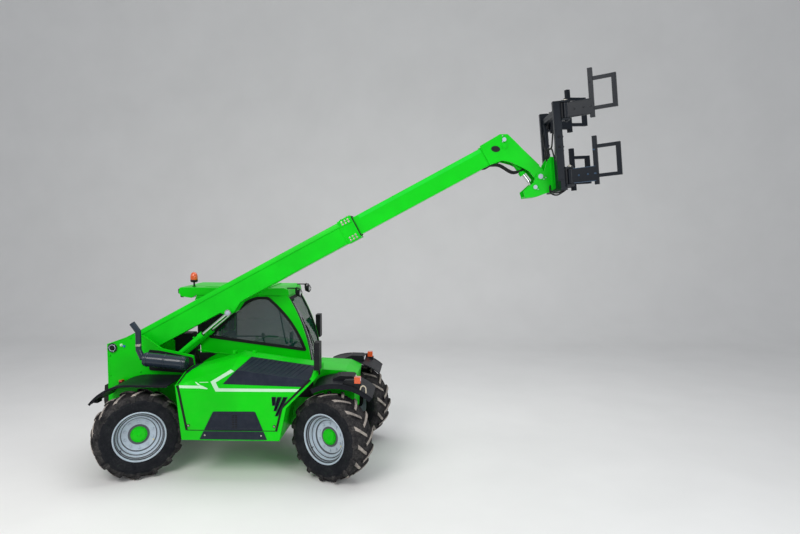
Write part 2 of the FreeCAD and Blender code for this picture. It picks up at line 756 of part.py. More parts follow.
def controls():
    """Dashboard, steering column and steering wheel."""
    dash = prism([(540, cab_floor + cab_wall), (655, cab_floor + cab_wall), (800, 1330), (640, 1420),
                  (520, 1360)], (cab_right + cab_wall, cab_left - cab_wall - 160))
    column = rod(V(560, 610, 1330), V(408, 610, 1516), 32)
    centre = V(405, 610, 1520)
    section = [(171, -8), (171, 8), (185, 16), (199, 8), (199, -8), (185, -16)]
    wheel = turned(lathe(section), 90, V(1, 0, 0))
    wheel.rotate(V(0, 0, 0), Y_AXIS, -degrees(atan2(0.6, 0.8)))
    wheel = moved(wheel, centre.x, centre.y, centre.z)
    spokes = []
    for angle in (90, 210, 330):
        side = turned(Part.makeCylinder(13, 185, V(0, 0, 0), V(1, 0, 0)), angle)
        side.rotate(V(0, 0, 0), Y_AXIS, -degrees(atan2(0.6, 0.8)))
        spokes.append(moved(side, centre.x, centre.y, centre.z))
    return fuse([dash, column, wheel] + spokes)


# Engine bay and hood, on the right

def bay_solid(inset):
    """Block of the engine bay: one section, lower towards both ends."""
    r, f = rear_axle_x, front_axle_x
    stations = ((r + 640, -232), (20, 0), (f - 240, -160))
    section = [(bay_side + inset, 570 + inset), (bay_side + inset, 1345), (bay_side + 18 + inset, 1560),
               (-700, bay_top - 20 - inset), (bay_inner - inset, bay_top - inset), (bay_inner - inset, 570 + inset)]
    wires = []
    for x, drop in stations:
        points = [V(x, y, z + (drop if z > 1400 else 0)) for y, z in section]
        wires.append(Part.makePolygon(points + points[:1]))
    block = Part.makeLoft(wires, True, True)
    outline = [(r + 744 + inset, 577 + inset), (f - 762 - inset, 577 + inset), (f - 664 - inset, 1034),
               (f - 256 - inset, 1443), (f - 256 - inset, 1800), (r + 661 + inset, 1800), (r + 661 + inset, 1391)]
    return block.common(prism(outline, (bay_side - 5, bay_inner + 5)))


def hood_region(gap):
    """Part of the bay's skin that opens: all inside the fixed lips and above the sill."""
    r, f = rear_axle_x, front_axle_x
    outline = [(r + 830 + gap, 712 + gap), (f - 810 - gap, 712 + gap), (f - 730 - gap, 1040), (f - 335 - gap, 1440),
               (f - 335 - gap, 1800), (r + 700 + gap, 1800), (r + 714 + gap, 1340)]
    return prism(outline, (bay_side - 5, bay_inner - 24 - gap))


def engine_bay():
    shell = bay_solid(0).cut(bay_solid(bay_wall))
    shell = shell.cut(hood_region(0))
    inner_wall = box((-1300, 1300), (bay_inner - bay_wall - 1, bay_inner + 1), (500, 1800))
    opening = box((rear_axle_x + 830, front_axle_x - 830), (bay_inner - bay_wall - 1, bay_inner + 1), (760, 1400))
    shell = shell.cut(inner_wall.common(opening))
    lugs = []
    for x in hood_hinges:
        lugs.append(box((x + 22, x + 34), (hood_hinge_y, bay_inner - 4), (bay_top - 60, hood_hinge_z + 14)))
        lugs.append(box((x + 22, x + 34), (hood_hinge_y - 14, bay_inner - 4), (hood_hinge_z - 14, hood_hinge_z + 14)))
        lugs.append(rod(V(x - 20, hood_hinge_y, hood_hinge_z), V(x + 28, hood_hinge_y, hood_hinge_z), hinge_pin))
    return fuse([shell] + lugs)


def cover_region(gap, block):
    """Part of the hood that its black cover fills: the flank above the belt and the slope over it."""
    end = front_axle_x - 230
    outline = [(-104 + gap, 1358 + gap), (end, 1322 + gap), (end, 1800), (300, 1800), (170 + gap, 1640)]
    return prism(outline, (bay_side - 5, cover_inner + gap)).common(block)


def hood_cover(region):
    """Cover with slanted ribs down its slope."""
    skin = bay_solid(2).cut(bay_solid(hood_skin)).common(hood_region(6))
    skin = skin.common(cover_region(2, region))
    ribs = []
    first, last = 190, front_axle_x - 420
    for i in range(rib_count):
        x = first + (last - first) * i / (rib_count - 1)
        foot, head = (x - 150, bay_side + 40), (x, cover_inner - 25)
        corners = [V(foot[0], foot[1], 1300), V(foot[0] + 22, foot[1], 1300),
                   V(head[0] + 22, head[1], 1300), V(head[0], head[1], 1300)]
        bar = Part.Face(Part.makePolygon(corners + corners[:1])).extrude(V(0, 0, 500))
        ribs.append(bar)
    raised = bay_solid(-6).cut(bay_solid(5)).common(hood_region(30)).common(cover_region(24, bay_solid(-6)))
    slope = box((-300, 1300), (bay_side + 40, cover_inner - 20), (1380, 1800))
    return fuse([skin] + [raised.common(slope).common(bar) for bar in ribs])


def hood_parts():
    skin = bay_solid(0).cut(bay_solid(hood_skin)).common(hood_region(5))
    cover = cover_region(0, bay_solid(-5))
    green = skin.cut(cover)
    slots = []
    f = front_axle_x
    for top_x, low_x, low_z in ((f - 855, f - 847, 1075), (f - 775, f - 830, 1000), (f - 695, f - 813, 930)):
        outline = [(top_x, 1184), (top_x + 52, 1184), (low_x + 30, low_z), (low_x, low_z)]
        slots.append(prism(outline, (bay_side - 10, bay_side + 40)))
    green = green.cut(slots)
    tabs = []
    for x in hood_hinges:
        tabs.append(box((x - 20, x + 20), (hood_hinge_y - 34, hood_hinge_y - 18), (bay_top - 42, hood_hinge_z + 6)))
        tabs.append(box((x - 20, x + 20), (hood_hinge_y - 34, hood_hinge_y), (hood_hinge_z - 6, hood_hinge_z + 6)))
        tabs.append(rod(V(x - 20, hood_hinge_y, hood_hinge_z), V(x + 20, hood_hinge_y, hood_hinge_z), hinge_tube))
    holes = [rod(V(x - 30, hood_hinge_y, hood_hinge_z), V(x + 30, hood_hinge_y, hood_hinge_z),
                 hinge_pin + running_gap) for x in hood_hinges]
    hood = fuse([green] + tabs).cut(holes)
    return hood, hood_cover(cover)


def arch(end, side, span, radius, thick, width_y):
    """Curved fender over one wheel, between two angles above the axle."""
    cx, cz = end * wheelbase / 2, axle_z
    a, b = (radians(angle) for angle in span)
    outer = [(cx + radius * cos(t), cz + radius * sin(t)) for t in (a, (a + b) / 2, b)]
    inner = [(cx + (radius - thick) * cos(t), cz + (radius - thick) * sin(t)) for t in (b, (a + b) / 2, a)]
    edges = [arc(*outer), line(outer[2], inner[0]), arc(*inner), line(inner[2], outer[0])]
    face = Part.Face(Part.Wire(edges))
    y = sorted(side * w for w in width_y)
    return moved(face.extrude(V(0, y[1] - y[0], 0)), 0, y[0])


def fender(end, side):
    """Fender with a skirt along its outer edge; the rear one runs straight to the bay's lip."""
    radius, skirt_height, span = fenders[end]
    sheet = arch(end, side, span, radius, fender_thick, (frame_half + plate, fender_width))
    skirt = arch(end, side, span, radius, skirt_height, (fender_width - fender_thick, fender_width))
    solids = [sheet, skirt]
    if end < 0:
        top = axle_z + radius
        for depth, width_y in ((fender_thick, (frame_half + plate, fender_width)),
                               (skirt_height, (fender_width - fender_thick, fender_width))):
            y = sorted(side * w for w in width_y)
            start = rear_axle_x + radius * cos(radians(span[0]))
            solids.append(box((start - 4, -884), y, (top - depth, top)))
    return fuse(solids)


# Radius, skirt and span in degrees above the axle, by the end of the machine
fenders = {1: (fender_radius, fender_skirt, (48, 116)), -1: (rear_fender_radius, 24, (90, 142))}


def engine():
    return box((rear_axle_x + 870, front_axle_x - 910), (-960, -470), (740, 1290))


def engine_mounts():
    feet = []
    for x in (rear_axle_x + 950, front_axle_x - 1050):
        feet.append(box((x, x + 90), (-470, bay_inner + 10), (800, 900)))
    return feet


muffler_axis = tuple(V(x, muffler_y, z) for x, z in zip(muffler_x, muffler_z))


def muffler():
    start, end = muffler_axis
    along = (end - start).normalize()
    can = rod(start, end, muffler_radius)
    caps = [rod(start - along * 14, start, muffler_radius - 10), rod(end, end + along * 14, muffler_radius - 10)]
    brackets = []
    for x in (-1220, -900):
        z = start.z + (x - start.x) * along.z / along.x
        brackets.append(box((x, x + 40), (-640, -frame_half - plate), (z - 14, z + 14)))
    return fuse([can] + caps + brackets)


def exhaust_pipe():
    """Tail pipe: back out of the muffler, a bend, up, and a slanted outlet."""
    start, end = muffler_axis
    y = start.y
    points = [(start.x - 16, 1638), (-1392, 1638), (-1438, 1745), (-1438, 2010), (-1525, 2130)]
    path = Part.Wire([line(a, b, y) for a, b in zip(points, points[1:])])
    circle = Part.Wire(Part.makeCircle(pipe_radius, V(points[0][0], y, points[0][1]), V(-1, 0, 0)))
    return path.makePipeShell([circle], True, False, 1)


def hydraulic_tank():
    """Tank with two steps, under the cab."""
    outline = [(-620, 470), (560, 470), (640, 560), (640, cab_floor), (-700, cab_floor), (-700, 560)]
    tank = prism(outline, (frame_half + plate + 20, 880))
    steps = []
    for z, y in ((470, 1040), (600, 990)):
        steps.append(box((-250, 330), (880, y), (z, z + 24)))
        for x in (-250, 310):
            steps.append(box((x, x + 20), (880, y), (z, min(z + 110, cab_floor - 2))))
    return fuse([tank] + steps)


def rear_tank():
    """Oil tank on the deck behind the cab, with its filler."""
    x = (rear_axle_x - 170, -945)
    tank = prism([(x[0], rail_top + 12), (x[0], 1620), (x[0] + 130, 1840), (x[1] - 60, 1840), (x[1], 1780),
                  (x[1], rail_top + 80), (x[1] - 70, rail_top + 12)], (165, 365))
    filler = rod(V(-1250, 265, 1836), V(-1250, 265, 1872), 42)
    return fuse([tank, filler])


def cab_mounts():
    solids = []
    for x in (-700, 520):
        solids.append(box((x, x + 120), (frame_half + plate, frame_half + plate + 20), (cab_floor - 90, cab_floor)))
    return solids


def counterweight():
    end = rear_axle_x - 628     # rear edge of the tower plates
    outline = [(end, 560), (end, 1180), (end - 92, 1130), (end - 112, 900), (end - 62, 560)]
    block = prism(outline, (-330, 330))
    jaws = [box((end - 232, end - 62), (-70, 70), z) for z in ((760, 785), (640, 665))]
    body = fuse([block] + jaws)
    return body.cut(rod(V(end - 182, 0, 600), V(end - 182, 0, 800), 17))


def mirror(side):
    """Tall mirror on its arm, at the front corner of the machine."""
    x, y, z = (1170, -830, 1700) if side < 0 else (838, 1178, 1810)
    shell = box((x - 45, x + 30), (y - 95, y + 95), (z - 180, z + 205))
    if side < 0:
        arm = box((x + 4.4, x + 22), (y - 12, y + 12), (1444, z - 170))
        foot = box((x + 4.4, x + 14), (y - 34, y + 34), (1444, 1458))
    else:
        arm = rod(V(776, 1150, z), V(x - 20, y, z), 10)
        foot = rod(V(776, cab_left + 0.4, z), V(776, 1156, z), 10)
    return fuse([shell, arm, foot])


def beacon():
    x, y = -1000, 300
    low = roof_top + 70
    profile = [(0, low), (50, low), (54, low + 34), (58, low + 40), (58, low + 96), (44, low + 138),
               (22, low + 154), (0, low + 157)]
    dome = turned(lathe(profile), 90, V(1, 0, 0))
    stem = rod(V(x, y, roof_top - 0.4), V(x, y, low + 4), 13)
    return fuse([stem, moved(dome, x, y)])


def lamp(x, y, z, facing):
    """Round lamp with a flared rim, facing along x."""
    profile = [(0, 0), (38, 0), (62, 48), (62, 66), (0, 66)]
    return moved(turned(lathe(profile), -90 * facing), x, y, z)


def work_lamps():
    z = roof_top - 90
    lamps = []
    for y in (cab_right + 90, cab_left - 90):
        arm = box((506, 700), (y - 14, y + 14), (z + 66, z + 82))
        post = box((630, 658), (y - 14, y + 14), (z, z + 82))
        lamps.append(fuse([arm, post, lamp(640, y, z, 1)]))
        lamps.append(box((-1213, -1180), (y - 45, y + 45), (z - 10, z + 60)))
    return group(lamps)


def head_lamps():
    solids = []
    for side in (-1, 1):
        y = sorted((side * (frame_half + plate), side * 640))
        f = front_axle_x
        solids.append(box((f - 40, f + 40), y, (1366, 1382)))
        y = sorted((side * 560, side * 820))
        lamp_side = [(f - 60, 1366), (f - 60, 1386), (f + 40, 1424), (f + 210, 1420), (f + 242, 1404),
                     (f + 235, 1331), (f + 160, 1350), (f + 100, 1360), (f + 40, 1366)]
        solids.append(prism(lamp_side, y))
    return group([fuse(solids[0:2]), fuse(solids[2:4])])


# Nodes

def steered_parts():
    parts = {}
    plain_tyre, plain_rim, plain_knuckle = tyre(), rim(), knuckle()
    for name, (end, side) in corners.items():
        parts[f"tyre_{name}"] = steered(moved(plain_tyre, 0, -wheel_offset), end, side)
        parts[f"rim_{name}"] = steered(moved(plain_rim, 0, -wheel_offset), end, side)
        parts[f"knuckle_{name}"] = steered(plain_knuckle, end, side)
    return parts


def all_parts():
    lift_barrel, lift_rod = lift_cylinders()
    tilt_barrel, tilt_rod = tilt_cylinder()
    hood, cover = hood_parts()
    plain_axle = axle()
    parts = {
        "frame": frame(),
        "front_frame": front_frame(),
        "axle_front": moved(plain_axle, front_axle_x, 0, axle_z),
        "axle_rear": moved(plain_axle, rear_axle_x, 0, axle_z),
        "counterweight": counterweight(),
        "rear_tank": rear_tank(),
        "engine": fuse([engine()] + engine_mounts()),
        "engine_bay": engine_bay(),
        "engine_hood": hood,
        "hood_cover": cover,
        "muffler": muffler(),
        "exhaust_pipe": exhaust_pipe(),
        "hydraulic_tank": fuse([hydraulic_tank()] + cab_mounts()),
        "cab_shell": cab_shell(),
        "cab_roof": cab_roof(),
        "cab_glass": cab_glass(),
        "cab_door": cab_door(),
        "door_glass": door_glass(),
        "seat": seat(),
        "controls": controls(),
        "beacon": beacon(),
        "work_lamps": work_lamps(),
        "head_lamps": head_lamps(),
        "mirrors": group([mirror(-1), mirror(1)]),
        "fenders_front": group([fender(1, -1), fender(1, 1)]),
        "fenders_rear": group([fender(-1, -1), fender(-1, 1)]),
        "boom_pivot": boom_pivot(),
        "boom_outer": boom_outer(),
        "boom_pads": boom_pads(),
        "boom_inner": boom_inner(),
        "lift_barrels": lift_barrel,
        "lift_rods": lift_rod,
        "tilt_barrel": tilt_barrel,
        "tilt_rod": tilt_rod,
        "carriage": carriage(),
        "clamp_frame": clamp_frame(),
    }
    for tier, middle in tier_heights.items():
        for name, side in (("right", -1), ("left", 1)):
            parts[f"clamp_arm_{tier}_{name}"] = clamp_arm(side, middle)
    parts.update(steered_parts())
    return parts


def main():
    os.makedirs("parts", exist_ok=True)
    for name, shape in all_parts().items():
        moved(shape, -origin_shift).exportStep(f"parts/{name}.step")


main()
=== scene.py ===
from math import asin, atan2, cos, degrees, hypot, pi, radians, sin, sqrt

import bmesh
import bpy
from mathutils import Matrix, Vector


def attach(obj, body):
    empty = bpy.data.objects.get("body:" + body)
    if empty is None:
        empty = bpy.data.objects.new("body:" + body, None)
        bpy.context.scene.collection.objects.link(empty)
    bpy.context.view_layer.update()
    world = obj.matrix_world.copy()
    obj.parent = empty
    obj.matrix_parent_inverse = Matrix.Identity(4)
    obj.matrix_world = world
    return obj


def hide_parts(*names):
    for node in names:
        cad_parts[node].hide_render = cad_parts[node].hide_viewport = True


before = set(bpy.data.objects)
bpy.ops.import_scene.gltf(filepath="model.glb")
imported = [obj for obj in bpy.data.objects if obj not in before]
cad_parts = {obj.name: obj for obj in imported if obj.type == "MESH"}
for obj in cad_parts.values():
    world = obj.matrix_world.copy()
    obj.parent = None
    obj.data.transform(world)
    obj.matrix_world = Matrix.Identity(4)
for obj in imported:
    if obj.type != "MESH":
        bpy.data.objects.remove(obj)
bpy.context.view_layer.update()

# Looks of a telehandler with a bale clamp, in metres.
# MID is where the middle of the wheelbase lies: x runs forward, y to the left, z up.

MID = -1.502
WHEELBASE = 2.86
KINGPIN_Y = 0.803
WHEEL_OFFSET = 0.130
STEER = radians(30)
TYRE_RADIUS = 0.605
TYRE_WIDTH = 0.400
LUG_HEIGHT = 0.034
LUGS_A_SIDE = 15
LUG_SLANT = radians(42)
BEAD_RADIUS = 0.318
FLANGE_RADIUS = 0.340
HUB_CAP_RADIUS = 0.110

BOOM_Y = -0.120
PIVOT = Vector((MID - 1.970, BOOM_Y, 1.715))
BOOM_ANGLE = radians(28.2)
OUTER_LENGTH, OUTER_WIDTH, OUTER_TOP, OUTER_DEPTH = 4.030, 0.300, 0.048, 0.340
INNER_WIDTH, INNER_TOP, INNER_DEPTH = 0.246, 0.016, 0.276
NOSE_START = 6.165
NECK_PIN = (6.723, -0.755)
TILT_TOP = (6.478, -0.120)
CARRIAGE_TILT = radians(5)
TIERS = {"upper": 0.848, "lower": -0.058}
ARM_PIN_U, ARM_SIDE, ARM_SPLAY = 0.348, 0.480, radians(25)

CAB_RIGHT, CAB_LEFT = 0.140, 1.065
ROOF_TOP = 2.567
BAY_SIDE, BAY_INNER = -1.080, -0.410

X, Y, Z = Vector((1, 0, 0)), Vector((0, 1, 0)), Vector((0, 0, 1))


def at(x, y, z):
    """Point given from the middle of the wheelbase."""
    return Vector((MID + x, y, z))


def boom_point(s, t, y=BOOM_Y):
    """Point s along the boom and t square to it, from the pivot."""
    a = BOOM_ANGLE
    return Vector((PIVOT.x + s * cos(a) - t * sin(a), y, PIVOT.z + s * sin(a) + t * cos(a)))


CARRIAGE_PIN = boom_point(*NECK_PIN)


def carriage_point(u, w, y=BOOM_Y):
    a = CARRIAGE_TILT
    return Vector((CARRIAGE_PIN.x + u * cos(a) - w * sin(a), y, CARRIAGE_PIN.z + u * sin(a) + w * cos(a)))


BOOM_TURN = Matrix.Rotation(-BOOM_ANGLE, 4, "Y")
CARRIAGE_TURN = Matrix.Rotation(-CARRIAGE_TILT, 4, "Y")


# Camera, fitted to the photograph

camera_data = bpy.data.cameras.new("camera")
camera_data.sensor_width = 36
camera_data.lens = 598.03 / 800 * 36
camera_data.clip_end = 100
camera = bpy.data.objects.new("camera", camera_data)
camera.location = at(2.616, -9.0265, 3.4367)
camera.rotation_euler = (radians(90) - 0.0593, 0, 0.0374)
bpy.context.scene.collection.objects.link(camera)
bpy.context.scene.camera = camera


# Materials

class Nodes:
    """A material's node tree with one shader, and short calls that add to it."""

    def __init__(self, name, color=(0.5, 0.5, 0.5), roughness=0.5, metallic=0.0, coat=0.0):
        self.material = bpy.data.materials.new(name)
        self.material.use_nodes = True
        self.tree = self.material.node_tree
        self.shader = self.tree.nodes["Principled BSDF"]
        self.material.diffuse_color = (*color, 1)
        for socket, value in (("Base Color", (*color, 1)), ("Roughness", roughness),
                              ("Metallic", metallic), ("Coat Weight", coat)):
            self.shader.inputs[socket].default_value = value
        self.place = self.add("ShaderNodeTexCoord").outputs["Object"]

    def add(self, kind, **inputs):
        node = self.tree.nodes.new(kind)
        for key, value in inputs.items():
            self.put(node, key.replace("_", " ").title() if key.islower() else key, value)
        return node

    def put(self, node, socket, value):
        if isinstance(value, bpy.types.NodeSocket):
            self.tree.links.new(value, node.inputs[socket])
        else:
            node.inputs[socket].default_value = value

    def noise(self, scale, detail=3.0, roughness=0.55, stretch=(1, 1, 1)):
        mapping = self.add("ShaderNodeMapping", vector=self.place, scale=stretch)
        node = self.add("ShaderNodeTexNoise", vector=mapping.outputs[0], scale=scale, detail=detail,
                        roughness=roughness)
        return node.outputs["Fac"]

    def ramp(self, value, stops):
        """Colour ramp with (position, grey or colour) stops."""
        node = self.add("ShaderNodeValToRGB", Fac=value)
        elements = node.color_ramp.elements
        while len(elements) < len(stops):
            elements.new(0.5)
        for element, (position, color) in zip(elements, stops):
            element.position = position
            element.color = (color,) * 3 + (1,) if isinstance(color, (int, float)) else (*color, 1)
        return node.outputs["Color"]

    def mix(self, factor, a, b):
        node = self.add("ShaderNodeMix")
        node.data_type = "RGBA"
        for socket, value in ((node.inputs[0], factor), (node.inputs[6], a), (node.inputs[7], b)):
            if isinstance(value, bpy.types.NodeSocket):
                self.tree.links.new(value, socket)
            else:
                socket.default_value = (*value, 1) if isinstance(value, tuple) else value
        return node.outputs[2]

    def math(self, operation, a, b=0.0):
        node = self.add("ShaderNodeMath")
        node.operation = operation
        self.put(node, 0, a)
        self.put(node, 1, b)
        return node.outputs[0]

    def height(self, low, high):
        """0 at height low and 1 at height high above the ground."""
        part = self.add("ShaderNodeSeparateXYZ", vector=self.place)
        node = self.add("ShaderNodeMapRange", Value=part.outputs["Z"])
        self.put(node, "From Min", low)
        self.put(node, "From Max", high)
        return node.outputs[0]

    def bump(self, value, strength, distance, edge=0.0):
        """Bump from value, on edges softened by edge."""
        node = self.add("ShaderNodeBump", strength=strength, distance=distance, height=value)
        if edge:
            soft = self.add("ShaderNodeBevel", radius=edge)
            soft.samples = 4
            self.tree.links.new(soft.outputs[0], node.inputs["Normal"])
        self.tree.links.new(node.outputs[0], self.shader.inputs["Normal"])

    def color(self, socket):
        self.tree.links.new(socket, self.shader.inputs["Base Color"])

    def rough(self, socket):
        self.tree.links.new(socket, self.shader.inputs["Roughness"])


def paint(name, color, roughness=0.34, coat=0.03, dust=0.15, dust_color=(0.26, 0.22, 0.16), edge=0.006):
    """Enamel with fine orange peel, slight fading, and dust that thickens towards the ground."""
    m = Nodes(name, color, roughness, coat=coat)
    m.shader.inputs["Coat Roughness"].default_value = 0.12
    m.shader.inputs["Specular IOR Level"].default_value = 0.16
    faded = tuple(min(1, c * 1.10) for c in color)
    deep = tuple(c * 0.9 for c in color)
    tone = m.mix(m.ramp(m.noise(1.6, 4), [(0.35, 0.0), (0.7, 1.0)]), deep, faded)
    low = m.ramp(m.height(0.4, 1.5), [(0.0, 0.55), (0.5, 0.16), (1.0, 0.03)])
    grime = m.math("MULTIPLY", m.ramp(m.noise(9, 6, 0.65), [(0.42, 0.0), (0.72, 1.0)]), low)
    tone = m.mix(m.math("MULTIPLY", grime, dust), tone, dust_color)
    m.color(tone)
    m.rough(m.math("ADD", m.math("MULTIPLY", grime, 0.45), m.math("ADD", roughness - 0.04,
            m.math("MULTIPLY", m.noise(30, 2), 0.08))))
    m.bump(m.noise(260, 2), 0.05, 0.002, edge)
    return m.material


def plastic(name, color, roughness=0.5, grain=0.12, dust=0.4, edge=0.004):
    """Moulded plastic with a fine grain and a little dust."""
    m = Nodes(name, color, roughness)
    m.shader.inputs["Specular IOR Level"].default_value = 0.18
    tone = m.mix(m.ramp(m.noise(3, 4), [(0.3, 0.0), (0.75, 1.0)]), tuple(c * 0.85 for c in color),
                 tuple(c * 1.25 + 0.001 for c in color))
    grime = m.ramp(m.noise(12, 6, 0.7), [(0.45, 0.0), (0.8, 1.0)])
    m.color(m.mix(m.math("MULTIPLY", grime, dust * 0.12), tone, (0.22, 0.20, 0.18)))
    m.rough(m.math("ADD", m.math("MULTIPLY", m.noise(45, 3), 0.16), roughness - 0.08))
    m.bump(m.noise(420, 2), grain, 0.002, edge)
    return m.material


def rubber(name, color, dusty, roughness=0.8):
    """Tyre rubber with caked dust in soft patches."""
    m = Nodes(name, color, roughness)
    m.shader.inputs["Specular IOR Level"].default_value = 0.12
    cake = m.ramp(m.noise(7, 8, 0.7), [(0.36, 0.0), (0.64, 1.0)])
    streak = m.ramp(m.noise(42, 4, 0.6), [(0.4, 0.35), (0.7, 1.0)])
    m.color(m.mix(m.math("MULTIPLY", cake, streak), color, dusty))
    m.rough(m.math("ADD", roughness - 0.08, m.math("MULTIPLY", cake, 0.16)))
    m.bump(m.noise(70, 5, 0.6), 0.35, 0.006)
    return m.material


def metal(name, color, roughness, scratches=0.2, metallic=1.0, edge=0.003):
    m = Nodes(name, color, roughness, metallic)
    fine = m.noise(60, 4, 0.6, (1, 6, 1))
    m.color(m.mix(m.ramp(m.noise(5, 5), [(0.3, 0.0), (0.75, 1.0)]), tuple(c * 0.82 for c in color), color))
    m.rough(m.math("ADD", roughness - scratches * 0.3, m.math("MULTIPLY", fine, scratches * 0.6)))
    m.bump(fine, scratches * 0.3, 0.001, edge)
    return m.material


def lens(name, color, roughness=0.12):
    """Ribbed clear plastic over a coloured body."""
    m = Nodes(name, color, roughness, coat=0.8)
    wave = m.add("ShaderNodeTexWave", vector=m.place, scale=60.0)
    m.color(m.mix(wave.outputs["Fac"], tuple(c * 0.7 for c in color), color))
    m.bump(wave.outputs["Fac"], 0.3, 0.002)
    return m.material


def window_glass(name, tint, alpha):
    m = Nodes(name, tint, 0.04)
    m.shader.inputs["Alpha"].default_value = alpha
    m.shader.inputs["Coat Weight"].default_value = 0.6
    # The tint goes lighter and darker in soft patches: painted sheen of reflections on the glass.
    m.color(m.mix(m.noise(3, 4), tuple(c * 0.7 for c in tint), tuple(c * 1.3 for c in tint)))
    m.rough(m.math("ADD", 0.02, m.math("MULTIPLY", m.noise(14, 4), 0.06)))
    m.material.surface_render_method = "DITHERED"
    return m.material


GREEN = (0.001, 0.56, 0.003)
BOOM_GREEN = (0.002, 0.58, 0.008)
CHARCOAL = (0.010, 0.014, 0.022)

green = paint("green_paint", GREEN)
boom_green = paint("boom_paint", BOOM_GREEN)
# Lighter green for the inner boom's upper edges: painted highlight of a fold catching the light.
fold_highlight_paint = paint("boom_painted_highlight", (0.010, 0.66, 0.030))
charcoal_paint = paint("charcoal_paint", CHARCOAL, 0.42, 0.05, 0.4)
muffler_paint = paint("muffler_paint", (0.016, 0.026, 0.040), 0.26, 0.5, 0.2)
clamp_paint = paint("clamp_paint", (0.006, 0.009, 0.014), 0.4, 0.05, 0.3, (0.08, 0.09, 0.10))
# Lighter blue grey paint, given to the lower right clamp arm alone.
clamp_grey = paint("clamp_blue_grey_paint", (0.035, 0.070, 0.120), 0.45, 0.1, 0.4, (0.12, 0.14, 0.16))
frame_black = paint("underframe_paint", (0.009, 0.010, 0.012), 0.5, 0.02, 0.7)
white_stripe = paint("stripe_white", (0.50, 0.80, 0.54), 0.35, 0.1, 0.2)
hood_plastic = plastic("hood_plastic", (0.012, 0.017, 0.030), 0.38, 0.1)
black_plastic = plastic("black_plastic", (0.007, 0.008, 0.010), 0.48)
fender_plastic = plastic("fender_plastic", (0.005, 0.006, 0.010), 0.45, 0.12, 0.3)
seal_rubber = plastic("seal_rubber", (0.007, 0.007, 0.008), 0.62, 0.05, 0.2)
hose_rubber = plastic("hose_rubber", (0.010, 0.011, 0.012), 0.5, 0.05, 0.3)
tyre_side = rubber("tyre_side", (0.006, 0.007, 0.010), (0.028, 0.029, 0.032))
tyre_tread = rubber("tyre_tread", (0.010, 0.010, 0.012), (0.085, 0.080, 0.078), 0.85)
lug_top = rubber("tyre_lug_top", (0.20, 0.18, 0.165), (0.58, 0.51, 0.45), 0.75)
silver = paint("rim_silver", (0.44, 0.52, 0.60), 0.34, 0.2, 0.4, (0.26, 0.24, 0.21))
chrome = metal("rod_chrome", (0.78, 0.79, 0.80), 0.10, 0.12)
steel = metal("pin_steel", (0.55, 0.56, 0.58), 0.34, 0.3)
zinc = metal("bolt_zinc", (0.60, 0.58, 0.50), 0.38, 0.3)
cast = plastic("engine_iron", (0.03, 0.03, 0.032), 0.7, 0.4, 0.8)
amber = lens("amber_lens", (0.78, 0.10, 0.010))
red_lens = lens("red_lens", (0.55, 0.012, 0.008))
screen_glass = plastic("monitor_screen", (0.05, 0.12, 0.14), 0.15, 0.02, 0.1)
clear_lens = lens("clear_lens", (0.80, 0.83, 0.85), 0.08)
mirror_glass = metal("mirror_glass", (0.85, 0.87, 0.88), 0.03, 0.02)
glass = window_glass("window_glass", (0.008, 0.045, 0.042), 0.46)
# Dark grey for the rim's grooves: painted shade in the recesses.
rim_groove_shade = paint("rim_groove_shade", (0.085, 0.095, 0.110), 0.45, 0.1, 0.6, (0.12, 0.11, 0.10))
seat_cloth = plastic("seat_fabric", (0.022, 0.023, 0.026), 0.85, 0.5, 0.3)
yellow = paint("tag_yellow", (0.85, 0.62, 0.02), 0.4, 0.1, 0.2)
cream = paint("loop_cream", (0.62, 0.56, 0.42), 0.45, 0.1, 0.4)
blue_fitting = paint("fitting_blue", (0.05, 0.18, 0.62), 0.35, 0.2, 0.2)


# Mesh helpers

